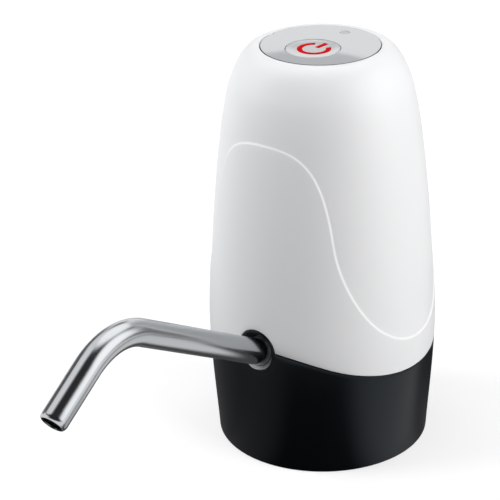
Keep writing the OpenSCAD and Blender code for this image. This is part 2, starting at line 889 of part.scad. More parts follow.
module chassis() {
    sleeve_base = [cell_x, cell_y];
    color([0.2, 0.21, 0.22]) difference() {
        union() {
            // plate under the motor
            translate([0, 0, plate_z]) linear_extrude(plate_t) {
                translate([drive_x, gear_y]) circle(r = motor_r + plate_rim);
                translate([driven_x, gear_y]) circle(r = gear_pocket_r + pump_wall);
                for (p = ear_places) translate(p) circle(r = ear_r);
                for (p = chassis_posts) {
                    translate(p) circle(r = post_r + plate_rim / 2);
                    arm(p, [drive_x, gear_y], post_r - plate_rim / 2);
                }
                arm(sleeve_base, [drive_x, gear_y], cell_d / 4);
            }
            on_chassis_posts() translate([0, 0, deck_z])
                cylinder(r = post_r, h = plate_z - deck_z + plate_t / 2);
            // sleeve for the cell, on a foot
            translate(sleeve_base) {
                translate([0, 0, deck_z]) cylinder(r = post_r, h = sleeve_foot_h + sleeve_floor_t / 4);
                translate([0, 0, sleeve_floor_z]) cylinder(r = sleeve_r + sleeve_t, h = sleeve_len);
            }
        }
        translate(sleeve_base) {
            translate([0, 0, sleeve_floor_z + sleeve_floor_t]) cylinder(r = sleeve_r, h = far);
            rotate(lead_angle) translate([0, -sleeve_slot / 2, sleeve_floor_z + sleeve_floor_t / 2])
                cube([far, sleeve_slot, far]);
        }
        on_motor_axis() translate([0, 0, plate_z - fine])
            cylinder(d = motor_boss_d + 2 * seat_gap, h = plate_t + 2 * fine);
        on_motor_screws() translate([0, 0, plate_z - fine])
            cylinder(d = pump_screw_d + 2 * screw_gap, h = plate_t + 2 * fine);
        on_ears() translate([0, 0, plate_z - fine]) cylinder(d = pump_screw_d, h = plate_t + 2 * fine);
        on_chassis_posts() translate([0, 0, deck_z - fine])
            cylinder(d = case_screw_d, h = case_screw_len);
    }
}

// Straight web between two places in plan
module arm(from, to, half_w) {
    run = to - from;
    translate(from) rotate(atan2(run.y, run.x)) translate([0, -half_w]) square([norm(run), 2 * half_w]);
}

module pump_outline() {
    for (x = [drive_x, driven_x]) translate([x, gear_y]) circle(r = gear_pocket_r + pump_wall);
    translate([-pitch_r, gear_y - gear_pocket_r - pump_wall])
        square(2 * [pitch_r, gear_pocket_r + pump_wall]);
    for (y = [inlet_y, outlet_y]) translate([0, y]) circle(d = port_d);
    for (p = ear_places) translate(p) circle(r = ear_r);
}

module gear_chamber() {
    for (x = [drive_x, driven_x]) translate([x, gear_y]) circle(r = gear_pocket_r);
    translate([-port_channel_w / 2, outlet_y]) square([port_channel_w, inlet_y - outlet_y]);
    for (y = [inlet_y, outlet_y]) translate([0, y]) circle(d = port_channel_w);
}

module pump_body() {
    color([0.86, 0.86, 0.84]) difference() {
        translate([0, 0, pump_body_z]) linear_extrude(plate_z - pump_body_z) pump_outline();
        translate([0, 0, pump_body_z - fine]) linear_extrude(gear_w + 2 * seat_gap + fine)
            for (x = [drive_x, driven_x]) translate([x, gear_y]) circle(r = gear_pocket_r);
        translate([0, 0, pump_body_z - fine]) linear_extrude(port_channel_h + fine) gear_chamber();
        on_motor_axis() {
            translate([0, 0, pump_body_z]) cylinder(r = shaft_d / 2 + run_gap, h = far);
            translate([0, 0, plate_z - shaft_seal_h]) cylinder(d = shaft_seal_d, h = far);
        }
        translate([driven_x, gear_y, pump_body_z])
            cylinder(d = idler_d, h = pocket_top_z - pump_body_z + idler_hold);
        on_motor_screws() translate([0, 0, plate_z - head_h_ratio * pump_screw_d - seat_gap])
            cylinder(d = head_ratio * pump_screw_d + 2 * seat_gap, h = far);
        on_ears() translate([0, 0, pump_body_z - fine])
            cylinder(d = pump_screw_d + 2 * screw_gap, h = far);
    }
}

module pump_gasket() {
    color([0.15, 0.15, 0.15]) translate([0, 0, pump_gasket_z]) linear_extrude(pump_gasket_t)
        difference() {
            pump_outline();
            gear_chamber();
            for (p = ear_places) translate(p) circle(d = pump_screw_d + 2 * screw_gap);
        }
}

module pump_cover() {
    color([0.86, 0.86, 0.84]) difference() {
        union() {
            translate([0, 0, pump_cover_z]) linear_extrude(pump_cover_t) pump_outline();
            for (b = barb_lens) {
                translate([0, b[0], pump_cover_z - b[1]]) cylinder(r = hose_r, h = b[1] + fine);
            }
        }
        for (b = barb_lens) {
            translate([0, b[0], pump_cover_z - b[1] - fine]) cylinder(d = port_channel_w, h = far);
        }
        translate([driven_x, gear_y, pump_gasket_z - idler_hold]) cylinder(d = idler_d, h = far);
        on_ears() translate([0, 0, pump_cover_z - fine])
            cylinder(d = pump_screw_d + 2 * screw_gap, h = far);
    }
}

module pump_screws() {
    color([0.6, 0.6, 0.62]) on_ears() translate([0, 0, pump_cover_z])
        screw(pump_screw_d, plate_z + plate_t - pump_cover_z - seat_gap);
}

module idler_pin() {
    color([0.75, 0.76, 0.77]) translate([driven_x, gear_y, pump_gasket_z - idler_hold])
        cylinder(d = idler_d, h = pocket_top_z - pump_gasket_z + 2 * idler_hold);
}

module shaft_seal() {
    color([0.12, 0.12, 0.12]) on_motor_axis()
        ring(shaft_seal_d / 2, shaft_d / 2 + run_gap, plate_z - shaft_seal_h, shaft_seal_h);
}

module drive_gear() {
    color([0.93, 0.91, 0.85]) on_motor_axis() translate([0, 0, gear_z]) gear(shaft_d / 2);
}

module driven_gear() {
    color([0.93, 0.91, 0.85]) translate([driven_x, gear_y, gear_z])
        rotate(180 / gear_teeth) gear(idler_d / 2 + run_gap);
}

module motor_can() {
    color([0.72, 0.73, 0.74]) on_motor_axis() difference() {
        union() {
            translate([0, 0, motor_z]) cylinder(r = motor_r, h = motor_len);
            translate([0, 0, plate_z + seat_gap]) cylinder(d = motor_boss_d, h = plate_t);
        }
        translate([0, 0, motor_z + motor_sheet]) cylinder(r = motor_r - motor_sheet, h = far);
        translate([0, 0, plate_z]) cylinder(d = bearing_d, h = far);
        for (dy = [-1, 1] * motor_screw_pitch / 2) {
            translate([0, dy, motor_z - fine]) cylinder(d = pump_screw_d, h = motor_sheet + 2 * fine);
        }
    }
}

module motor_screws() {
    color([0.6, 0.6, 0.62]) on_motor_screws() translate([0, 0, plate_z])
        screw(pump_screw_d, plate_t + motor_sheet + motor_screw_end);
}

module motor_magnets() {
    color([0.3, 0.3, 0.32]) on_motor_axis() for (turn = [0, 180]) {
        rotate(turn - magnet_angle / 2) translate([0, 0, armature_z])
            rotate_extrude(angle = magnet_angle) translate([motor_r - motor_sheet - magnet_t, 0])
                square([magnet_t, armature_h]);
    }
}

module motor_bushes() {
    color([0.72, 0.53, 0.25]) on_motor_axis() {
        ring(bearing_d / 2, shaft_d / 2 + run_gap, plate_z + seat_gap, bearing_h);
        ring(bearing_d / 2, shaft_d / 2 + run_gap, motor_top_z - bearing_h, bearing_h);
    }
}

module motor_cap() {
    color([0.1, 0.1, 0.12]) on_motor_axis() difference() {
        translate([0, 0, motor_cap_z]) cylinder(r = motor_r, h = motor_cap_t);
        translate([0, 0, motor_cap_z - fine])
            cylinder(r = terminal_x + terminal_w, h = motor_cap_t - bearing_h);
        translate([0, 0, motor_cap_z]) cylinder(d = bearing_d, h = far);
        for (side = [-1, 1]) translate([side * terminal_x, 0, motor_cap_z + motor_cap_t / 2])
            cube([terminal_t, terminal_w, far / 2], center = true);
    }
}

module motor_brushes() {
    brush_h = 2;
    color([0.25, 0.2, 0.18]) on_motor_axis() for (turn = [0, 180]) rotate(turn) {
        translate([commutator_d / 2 + run_gap, -brush_h / 2, motor_cap_z])
            cube([terminal_x - terminal_t / 2 - commutator_d / 2 - run_gap, brush_h, brush_h]);
    }
}

module motor_terminals() {
    color([0.8, 0.7, 0.4]) on_motor_axis() for (side = [-1, 1]) {
        translate([side * terminal_x - terminal_t / 2, -terminal_w / 2, motor_cap_z])
            cube([terminal_t, terminal_w, motor_cap_t + terminal_h]);
    }
}

module motor_shaft() {
    color([0.8, 0.81, 0.82]) on_motor_axis() translate([0, 0, gear_z + seat_gap])
        cylinder(d = shaft_d, h = shaft_top_z - gear_z - seat_gap);
}

module armature_core() {
    slot_w = armature_d / 8;
    color([0.5, 0.5, 0.52]) on_motor_axis() translate([0, 0, armature_z]) linear_extrude(armature_h)
        difference() {
            circle(d = armature_d);
            circle(d = shaft_d);
            for (i = [0:pole_count - 1]) rotate((i + 0.5) * 360 / pole_count) {
                translate([armature_d / 4, -slot_w / 2]) square([armature_d, slot_w]);
            }
        }
}

module armature_windings() {
    winding_r = armature_d * 0.42;
    color([0.72, 0.36, 0.16]) on_motor_axis() {
        ring(winding_r, shaft_d / 2, armature_z - winding_h, winding_h);
        ring(winding_r, shaft_d / 2, armature_z + armature_h, winding_h);
    }
}

module commutator() {
    color([0.78, 0.5, 0.28]) on_motor_axis()
        ring(commutator_d / 2, shaft_d / 2, commutator_z, commutator_h);
}

module battery_cell() {
    nub_d = cell_d / 3;
    nub_h = 1;
    color([0.15, 0.35, 0.65]) translate([cell_x, cell_y, cell_z]) {
        cylinder(d = cell_d, h = cell_len - nub_h);
        cylinder(d = nub_d, h = cell_len);
    }
}

module battery_tabs() {
    color([0.8, 0.8, 0.78]) translate([cell_x, cell_y, 0]) rotate(lead_angle) {
        translate([-tab_w, -tab_w / 2, cell_z - tab_t]) cube([tab_w + lead_out + lead_r, tab_w, tab_t]);
        translate([-tab_w / 2, -tab_w / 2, cell_z + cell_len]) cube([tab_w, tab_w, tab_t]);
    }
}

module battery_leads() {
    top_tab_z = cell_z + cell_len + tab_t;
    color([0.75, 0.1, 0.1])
        lead([
            [cell_x, cell_y, top_tab_z],
            [cell_x, cell_y - lead_slack, (top_tab_z + board_under_z) / 2],
            [each board_pads[0], board_under_z]
        ]);
    color([0.1, 0.1, 0.1])
        lead([
            [lead_x, lead_y, cell_z],
            [lead_x, lead_y, cell_z + cell_len],
            [each board_pads[1], board_under_z]
        ]);
}

module motor_leads() {
    color([0.75, 0.1, 0.1]) motor_lead(-1, board_pads[2]);
    color([0.1, 0.1, 0.1]) motor_lead(1, board_pads[3]);
}

// Push-on connector over a motor terminal, with its lead up to the board
module motor_lead(side, pad) {
    lug = [drive_x + side * terminal_x, gear_y];
    lead_z = motor_top_z + terminal_h + crimp_roof / 2;
    difference() {
        translate([lug.x - crimp_w / 2, lug.y - crimp_len / 2, motor_top_z + free_gap])
            cube([crimp_w, crimp_len, terminal_h - free_gap + crimp_roof]);
        translate([lug.x - terminal_t / 2 - seat_gap, lug.y - terminal_w / 2 - seat_gap, motor_top_z])
            cube([terminal_t + 2 * seat_gap, terminal_w + 2 * seat_gap, terminal_h + seat_gap]);
    }
    lead([
        [each lug, lead_z],
        [lug.x, lug.y + lead_slack, (lead_z + board_under_z) / 2],
        [each pad, board_under_z]
    ]);
}

module control_board() {
    color([0.05, 0.35, 0.18]) translate([0, 0, board_under_z]) difference() {
        cylinder(d = board_d, h = board_t);
        on_board_screws() translate([0, 0, -fine])
            cylinder(d = board_screw_d + 2 * screw_gap, h = board_t + 2 * fine);
    }
}

module switch_body() {
    color([0.1, 0.1, 0.1]) translate([0, button_y, 0]) difference() {
        translate([-switch_w / 2, -switch_w / 2, board_z]) cube([switch_w, switch_w, switch_h]);
        translate([0, 0, switch_top_z - plunger_hidden - button_travel - free_gap])
            cylinder(d = plunger_d + 2 * run_gap, h = far);
    }
}

module switch_plunger() {
    color([0.85, 0.85, 0.85]) translate([0, button_y, switch_top_z - plunger_hidden])
        cylinder(d = plunger_d, h = plunger_hidden + plunger_rise);
}

module status_led() {
    color([0.8, 0.25, 0.2]) translate([0, lens_y, board_z]) {
        cylinder(d = led_d, h = led_h - led_d / 2);
        translate([0, 0, led_h - led_d / 2]) sphere(d = led_d);
    }
}

module status_lens() {
    color([0.62, 0.63, 0.65]) translate([0, lens_y, 0]) {
        translate([0, 0, seat_z - lens_flange_t - lens_stub])
            cylinder(d = lens_d, h = panel_t + lens_flange_t + lens_stub);
        translate([0, 0, seat_z - lens_flange_t])
            cylinder(d = lens_d + 2 * lens_flange_w, h = lens_flange_t);
    }
}

module charge_socket() {
    inner_w = usb_w - 2 * usb_sheet;
    inner_h = usb_h - 2 * usb_sheet;
    tongue_w = inner_w * 0.55;
    tongue_h = inner_h * 0.35;
    color([0.75, 0.76, 0.77]) translate([0, usb_mouth_y, board_z]) {
        difference() {
            translate([-usb_w / 2, -usb_len, 0]) cube([usb_w, usb_len, usb_h]);
            translate([-inner_w / 2, -usb_len + usb_back, usb_sheet]) cube([inner_w, usb_len, inner_h]);
        }
        translate([-tongue_w / 2, -usb_len + usb_back / 2, (usb_h - tongue_h) / 2])
            cube([tongue_w, usb_len - usb_back, tongue_h]);
    }
}

module board_screws() {
    color([0.6, 0.6, 0.62]) on_board_screws() translate([0, 0, board_under_z])
        screw(board_screw_d, board_screw_len);
}

module case_screws() {
    color([0.6, 0.6, 0.62]) on_case_screws() translate([0, 0, deck_under_z])
        screw(case_screw_d, case_screw_len);
}

module chassis_screws() {
    color([0.6, 0.6, 0.62]) on_chassis_posts() translate([0, 0, deck_under_z])
        screw(case_screw_d, case_screw_len);
}

module top_panel() {
    notch_depth = 0.7;
    color([0.85, 0.855, 0.865]) difference() {
        translate([0, 0, seat_z]) cylinder(d = panel_d, h = panel_t);
        translate([0, button_y, seat_z - fine]) cylinder(r = button_r + button_gap, h = far);
        translate([0, lens_y, seat_z - fine]) cylinder(d = lens_d, h = far);
        translate([-panel_d / 2 - notch_w, -notch_w / 2, seat_z - fine])
            cube([notch_w + notch_depth, notch_w, far]);
    }
}

module button_cap() {
    translate([0, button_y, 0]) difference() {
        union() {
            translate([0, 0, button_rim_z]) cylinder(r = button_r, h = button_t);
            translate([0, 0, seat_z - seat_gap - button_flange_t])
                cylinder(r = button_flange_r, h = button_flange_t);
            translate([0, 0, plunger_top_z])
                cylinder(d = stem_d, h = button_rim_z - plunger_top_z + fine);
        }
        translate([0, 0, button_top_z - dish_depth + dish_ball_r]) sphere(r = dish_ball_r, $fn = 256);
    }
}

// Power symbol: an open ring with a bar in its opening, which faces the back
module icon_outline() {
    difference() {
        circle(d = icon_d);
        circle(d = icon_d - 2 * icon_stroke);
        polygon([
            [0, 0],
            icon_d * [sin(icon_opening / 2), cos(icon_opening / 2)],
            icon_d * [-sin(icon_opening / 2), cos(icon_opening / 2)]
        ]);
    }
    translate([-icon_stroke / 2, icon_bar_from]) square([icon_stroke, icon_d / 2 - icon_bar_from]);
}

module icon_prism() {
    translate([0, button_y, icon_floor_z]) linear_extrude(far) icon_outline();
}

module power_button() {
    color([0.88, 0.885, 0.89]) difference() {
        button_cap();
        icon_prism();
    }
}

module power_icon() {
    color([0.78, 0.06, 0.08]) intersection() {
        button_cap();
        icon_prism();
    }
}

base_shell();
upper_shell();
neck_grip();
inlet_fitting();
inlet_gasket();
inlet_nut();
suction_hose();
delivery_hose();
hose_clips();
outlet_elbow();
spout_seal();
spout_bush();
spout_tube();
chassis();
pump_body();
pump_gasket();
pump_cover();
pump_screws();
idler_pin();
shaft_seal();
drive_gear();
driven_gear();
motor_can();
motor_screws();
motor_magnets();
motor_bushes();
motor_cap();
motor_brushes();
motor_terminals();
motor_shaft();
armature_core();
armature_windings();
commutator();
battery_cell();
battery_tabs();
battery_leads();
motor_leads();
control_board();
switch_body();
switch_plunger();
status_led();
status_lens();
charge_socket();
board_screws();
case_screws();
chassis_screws();
top_panel();
power_button();
power_icon();
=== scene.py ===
import math

import bpy
import numpy as np
from mathutils import Matrix, Vector


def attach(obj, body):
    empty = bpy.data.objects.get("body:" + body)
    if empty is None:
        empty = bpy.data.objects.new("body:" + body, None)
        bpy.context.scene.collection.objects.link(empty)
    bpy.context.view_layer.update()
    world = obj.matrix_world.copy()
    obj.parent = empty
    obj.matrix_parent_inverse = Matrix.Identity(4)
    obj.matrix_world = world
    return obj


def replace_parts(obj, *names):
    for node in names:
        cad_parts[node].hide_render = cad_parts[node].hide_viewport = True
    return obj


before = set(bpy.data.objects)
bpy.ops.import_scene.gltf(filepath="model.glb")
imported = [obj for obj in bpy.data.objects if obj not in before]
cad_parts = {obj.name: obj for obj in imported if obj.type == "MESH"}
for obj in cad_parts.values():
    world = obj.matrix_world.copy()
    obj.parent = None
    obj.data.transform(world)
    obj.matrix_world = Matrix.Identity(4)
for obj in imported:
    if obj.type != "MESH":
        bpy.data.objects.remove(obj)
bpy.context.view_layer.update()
MM = 0.001

# Camera: a long lens, a little above the pump and to the right of its spout.
# It stands where the photograph's own perspective puts it.
eye = np.array([339.8, -494.5, 344.4]) * MM
gaze = np.array([-0.54209, 0.72594, -0.42325])
level = np.array([0.80126, 0.59833, 0.0])
roll = math.radians(-1.30)
upright = np.cross(level, gaze)
across = level * math.cos(roll) + upright * math.sin(roll)
upwards = upright * math.cos(roll) - level * math.sin(roll)
lens_data = bpy.data.cameras.new("camera")
lens_data.sensor_width = 36
lens_data.lens = 144.94
lens_data.clip_start, lens_data.clip_end = 0.01, 20
camera = bpy.data.objects.new("camera", lens_data)
bpy.context.scene.collection.objects.link(camera)
stance = np.eye(4)
stance[:3] = np.column_stack([across, upwards, -gaze, eye])
camera.matrix_world = Matrix(stance)
bpy.context.scene.camera = camera
bpy.context.scene.view_settings.view_transform = "Standard"


# Studio: a white sweep, a large soft box on each side, two weak ones behind, low walls and a dark ceiling.
# The camera sees white all round, mirror rays see the walls and cards, and the floor keeps a faint shadow.
class Value:
    """One socket of a node tree: sums and products become Math nodes, and | takes the larger value."""

    def __init__(self, socket):
        self.socket = socket

    def node(self, kind, settings, sockets, output=0):
        made = self.socket.id_data.nodes.new(kind)
        for name, setting in settings.items():
            setattr(made, name, setting)
        for name, given in sockets.items():
            if isinstance(given, Value):
                made.id_data.links.new(given.socket, made.inputs[name])
            else:
                made.inputs[name].default_value = given
        return Value(made.outputs[output])

    def math(self, operation, first, second):
        return self.node("ShaderNodeMath", {"operation": operation}, {0: first, 1: second})

    def __add__(self, other):
        return self.math("ADD", self, other)

    def __sub__(self, other):
        return self.math("SUBTRACT", self, other)

    def __rsub__(self, other):
        return self.math("SUBTRACT", other, self)

    def __mul__(self, other):
        return self.math("MULTIPLY", self, other)

    def __truediv__(self, other):
        return self.math("DIVIDE", self, other)

    def __or__(self, other):
        return self.math("MAXIMUM", self, other)

    def ramp(self, low, high):
        """0 below low, 1 above high and a smooth rise between them."""
        limits = {"Value": self, "From Min": low, "From Max": high}
        return self.node("ShaderNodeMapRange", {"interpolation_type": "SMOOTHSTEP"}, limits)

    def along(self, direction):
        """Length of this vector along a direction."""
        product = {0: self, 1: direction}
        return self.node("ShaderNodeVectorMath", {"operation": "DOT_PRODUCT"}, product, "Value")

    def length(self):
        return self.node("ShaderNodeVectorMath", {"operation": "LENGTH"}, {0: self}, "Value")

    def stretched(self, factors):
        """This vector with each coordinate times its own factor."""
        return self.node("ShaderNodeVectorMath", {"operation": "MULTIPLY"}, {0: self, 1: factors})

    def noise(self, scale, detail):
        """Clouds from 0 to 1 at this place."""
        return self.node("ShaderNodeTexNoise", {}, {"Vector": self, "Scale": scale, "Detail": detail}, "Fac")

    def between(self, first, second):
        """The first colour where this value is 0 and the second where it is 1."""
        colours = {"Factor": self, "A": first, "B": second}
        return self.node("ShaderNodeMix", {"data_type": "RGBA"}, colours, "Result")

    def bump(self, strength, distance):
        """A normal that follows this value as a height."""
        return self.node("ShaderNodeBump", {}, {"Strength": strength, "Distance": distance, "Height": self})

    def emission(self):
        """White light of this strength."""
        return self.node("ShaderNodeEmission", {}, {"Color": (1, 1, 1, 1), "Strength": self})

    def switch(self, first, second):
        """The first shader where this value is 0 and the second where it is 1."""
        return self.node("ShaderNodeMixShader", {}, {0: self, 1: first, 2: second})


def source(tree, kind, output):
    """What a node of a tree gives by itself."""
    return Value(tree.nodes.new(kind).outputs[output])


def bearing(azimuth, elevation=0.0):
    """Unit vector towards a bearing in degrees: 0 is the right of the pump and -90 its spout side."""
    a, e = math.radians(azimuth), math.radians(elevation)
    return (math.cos(e) * math.cos(a), math.cos(e) * math.sin(a), math.sin(e))


def ray_kinds(tree):
    """1 for a ray from the camera or through glass, and 1 for a mirror ray."""
    path = tree.nodes.new("ShaderNodeLightPath")
    seen, mirrored, glass = (
        Value(path.outputs[name]) for name in ("Is Camera Ray", "Is Glossy Ray", "Is Transmission Ray")
    )
    return seen | glass, mirrored


camera_bearing = -55.5
room = bpy.data.worlds.new("studio")
bpy.context.scene.world = room
room.use_nodes = True
seen, mirrored = ray_kinds(room.node_tree)
falling = 1 - (seen | mirrored)
way = source(room.node_tree, "ShaderNodeTexCoord", "Object")


def facing(azimuth, elevation, edge, core):
    """1 in the directions near a bearing: cosines say where it begins and where it is full."""
    return way.along(bearing(azimuth, elevation)).ramp(edge, core)


steepness = way.along((0, 0, 1))
walls = (1 - steepness.ramp(0.40, 0.47)) * (1 - facing(camera_bearing, 0, 0.35, 0.75))
left_card = facing(-160, 58, 0.86, 0.96) | facing(150, 48, 0.90, 0.98) * 0.95
right_window = facing(27, 20, 0.788, 0.956) * 1.5
back_card = facing(97, 56, 0.80, 0.95) * 1.4
round_flag = facing(125.1, 25.8, 0.99368, 0.99386)
left_flag = facing(165, 8, 0.85, 0.95) * 0.86
back_flag = facing(80, 2, 0.80, 0.93) * 0.56 | facing(56, 0, 0.96, 0.99) * 0.8
ceiling_dark, room_light = 0.022, 0.08
tent = walls * (1 - (left_flag | back_flag)) | left_card | right_window | back_card
tent = tent * (1 - round_flag) | ceiling_dark
overhead = steepness.ramp(0.5, 1.0) * 0.62
background = room.node_tree.nodes["Background"]
background.inputs["Color"].default_value = (1, 1, 1, 1)
strength = seen + mirrored * tent + falling * (overhead + room_light)
room.node_tree.links.new(strength.socket, background.inputs["Strength"])


def bare_tree(piece, name):
    """The nodes of a new material on a stage piece, with nothing in them but the output."""
    paint = bpy.data.materials.new(name)
    paint.use_nodes = True
    paint.node_tree.nodes.remove(paint.node_tree.nodes["Principled BSDF"])
    piece.data.materials.append(paint)
    return paint.node_tree


floor_size = 6
bpy.ops.mesh.primitive_grid_add(x_subdivisions=2, y_subdivisions=2, size=floor_size, location=(0, 0, 0))
floor = bpy.context.object
floor.name = "floor"
floor_tree = bare_tree(floor, "floor_white")
seen, mirrored = ray_kinds(floor_tree)
spot = source(floor_tree, "ShaderNodeTexCoord", "Object")
away = spot.length()


def towards(azimuth, edge, core):
    """1 on the part of the floor that lies towards a bearing from the pump."""
    return (spot.along(bearing(azimuth)) / away).ramp(edge, core)


behind = towards(105, 0.3, 0.8)
right_front = towards(-2, 0.78, 1.0) | towards(88, -0.02, 0.05)
right_card = right_front * (spot.along(bearing(-30)).ramp(0.024, 0.038) * 0.60 + 0.12)
right_card = right_card * (1 - behind * 0.65) * (1 - away.ramp(0.1, 0.15))
left_card_low = towards(-108, 0.88, 1.0) * 0.18 | towards(-155, 0.5, 0.75) * 0.13
far_dim = towards(85, 0.3, 0.8) * 0.62 | towards(50, 0.93, 0.98) * away.ramp(0.2, 0.35) * 0.8
floor_mirror = away.ramp(0.125, 0.18) * (1 - far_dim) | right_card | left_card_low
dull = seen.node("ShaderNodeBsdfDiffuse", {}, {"Color": (0.25, 0.25, 0.25, 1)})
pale = seen.node("ShaderNodeBsdfDiffuse", {}, {"Color": (0.45, 0.45, 0.45, 1)})
glow = seen * (away.ramp(0.2, 0.9) * 0.42 + 0.58)
lit = seen.node("ShaderNodeAddShader", {}, {0: seen.switch(dull, pale), 1: glow.emission()})
above = mirrored.switch(lit, floor_mirror.emission())
clear = seen.node("ShaderNodeBsdfTransparent", {}, {})
underside = source(floor_tree, "ShaderNodeNewGeometry", "Backfacing")
under_pump = 1 - away.ramp(0.031, 0.033)
sided = (underside | under_pump).switch(above, clear)
floor_tree.links.new(sided.socket, floor_tree.nodes["Material Output"].inputs["Surface"])

# Spout card: a white fan that slopes away from the body, below the spout.
# Only mirror rays from above see it, and it draws the bright band along the tube.
card_columns, card_rows = 36, 6
card_start, card_sweep = 10, 107
card_near, card_depth, card_slope, card_peak = 40, 80, 0.466, 57.708
bpy.ops.mesh.primitive_grid_add(x_subdivisions=card_columns, y_subdivisions=card_rows)
card = bpy.context.object
card.name = "spout_card"
for index, vertex in enumerate(card.data.vertices):
    row, column = divmod(index, card_columns + 1)
    reach = card_near + card_depth * row / card_rows
    side = bearing(card_start - card_sweep * column / card_columns)
    vertex.co = (side[0] * reach * MM, side[1] * reach * MM, (card_peak - card_slope * reach) * MM)
for ray in ("camera", "diffuse", "transmission", "shadow", "volume_scatter"):
    setattr(card, "visible_" + ray, False)
card_tree = bare_tree(card, "card_white")
card_under = source(card_tree, "ShaderNodeNewGeometry", "Backfacing")
card_spot = source(card_tree, "ShaderNodeTexCoord", "Object")
card_reach = card_spot.stretched((1, 1, 0)).length()
card_right = (card_spot.along((1, 0, 0)) / card_reach).ramp(0.06, 0.27)
card_white = card_reach.ramp(0.042, 0.049) * card_right * (0.72 - card_reach.ramp(0.068, 0.085) * 0.25) + 0.07
card_clear = card_under.node("ShaderNodeBsdfTransparent", {}, {})
card_sided = card_under.switch(card_white.emission(), card_clear)
card_tree.links.new(card_sided.socket, card_tree.nodes["Material Output"].inputs["Surface"])

# Lamps: soft boxes that face the middle of the pump, hidden from mirror rays.
# The left one is a little cool, and the two behind only lift the far edges.
pump_middle, lamp_distance = Vector((0, 0, 0.07)), 0.95
for name, azimuth, elevation, size, power, colour in (
    ("right_light", 7, 22, (0.9, 0.7), 9.4, (1, 1, 1)),
    ("left_light", -144, 34, (0.5, 0.8), 7.8, (0.97, 0.985, 1)),
    ("back_right_light", 78, 20, (0.6, 0.7), 1.5, (1, 1, 1)),
    ("back_left_light", 168, 20, (0.6, 0.7), 1.5, (1, 1, 1)),
):
    lamp_data = bpy.data.lights.new(name, "AREA")
    lamp_data.shape = "RECTANGLE"
    lamp_data.size, lamp_data.size_y = size
    lamp_data.energy = power
    lamp_data.color = colour
    lamp = bpy.data.objects.new(name, lamp_data)
    bpy.context.scene.collection.objects.link(lamp)
    lamp.location = pump_middle + lamp_distance * Vector(bearing(azimuth, elevation))
    lamp.rotation_euler = (pump_middle - lamp.location).to_track_quat("-Z", "Y").to_euler()
    lamp.visible_glossy = False


# Black base: a moulded skirt that widens to the waist, with the deck and the neck socket inside it.
# Its upper edge follows the curved parting line, and the collar round the spout is moulded on.
def bezier(a, b, c, d, steps):
    t = np.linspace(0, 1, steps)[:, None]
    a, b, c, d = (np.array(p, float) for p in (a, b, c, d))
    return (1 - t) ** 3 * a + 3 * (1 - t) ** 2 * t * b + 3 * (1 - t) * t * t * c + t**3 * d


foot_r, waist_r, waist_z = 35.1, 37.5, 42
shoulder_r, shoulder_z, crown_r, crown_z = 28.65, 125.5, 19.15, 135


def body_outline(inset, foot_z, top):
    """Half outline of the turned body in millimetres, moved inwards by inset: points (radius, height)."""
    foot, waist = np.array([foot_r - inset, foot_z]), np.array([waist_r - inset, waist_z])
    shoulder = np.array([shoulder_r - 0.925 * inset, shoulder_z - 0.38 * inset])
    crown = np.array([crown_r, top])
    lean = np.array([0.412, -1])
    lower = bezier(foot, (foot[0] + 0.9, 14), waist - (0, 14), waist, 200)
    middle = bezier(waist, waist + (0, 13.1), shoulder + 12.8 * lean, shoulder, 400)
    upper = bezier(shoulder, shoulder - 8.3 * lean, crown + (3.5, 0), crown, 200)
    return np.concatenate([lower, middle[1:], upper[1:]])


foot_round, wall, inner_top = 0.6, 2.55, 131.4
skin_proud = body_outline(0, foot_round, crown_z)
skin_inner = body_outline(wall, 0, inner_top)
run = np.concatenate([[0], np.cumsum(np.hypot(*np.diff(skin_proud, axis=0).T))])


def on_outline(outline, along):
    """Radius and height at a distance along the proud outline."""
    return np.interp(along, run, outline[:, 0]), np.interp(along, run, outline[:, 1])


def radius_at(z):
    return np.interp(z, skin_proud[:, 1], skin_proud[:, 0])


def run_at(z):
    return np.interp(z, skin_proud[:, 1], run)


def placed(radius, angle, z):
    """Points round the axis; angle 0 is the front, where the spout is."""
    return np.stack(np.broadcast_arrays(radius * np.sin(angle), -radius * np.cos(angle), z), axis=-1)


spout_rise = math.radians(28.9)
spout_exit = np.array([0, -37.5, 42.5])
spout_out = np.array([0, -math.cos(spout_rise), math.sin(spout_rise)])
spout_up = np.array([0, math.sin(spout_rise), math.cos(spout_rise)])
collar_bore_r, collar_rim, collar_depth = 5.7, 1.3, -6.7
collar_r = collar_bore_r + collar_rim
collar_flat = 0.07


def round_spout(alpha, radius, depth=None):
    """Points round the spout's axis: on the body's skin, or at a depth along the axis."""
    alpha = np.asarray(alpha, float)[..., None]
    rim_share = np.clip((radius - collar_bore_r) / collar_rim, 0, 1)
    flat = 1 - collar_flat * rim_share * np.clip(np.cos(alpha), 0, 1)
    points = spout_exit + radius * (np.sin(alpha) * np.array([1.0, 0, 0]) + np.cos(alpha) * flat * spout_up)
    if depth is not None:
        return points + depth * spout_out
    for _ in range(25):
        miss = np.hypot(points[..., 0], points[..., 1]) - radius_at(points[..., 2])
        points = points + (miss / spout_out[1])[..., None] * spout_out
    return points


def parting(x):
    """Height of the parting line seen from the front: a round crest with straight sides."""
    crest_r, crest_z, slope = 56, 43.7, math.radians(23.3)
    turn_x = crest_r * math.sin(slope)
    bow = crest_z - crest_r + np.sqrt(np.maximum(crest_r**2 - np.minimum(abs(x), turn_x) ** 2, 0))
    return bow - np.maximum(abs(x) - turn_x, 0) * math.tan(slope)


def parting_run(angle, lift):
    """Distance up the outline of the parting line, found step by step."""
    z = np.full_like(angle, 40.0)
    for _ in range(40):
        z = parting(radius_at(z) * np.sin(angle)) + lift
    return run_at(z)


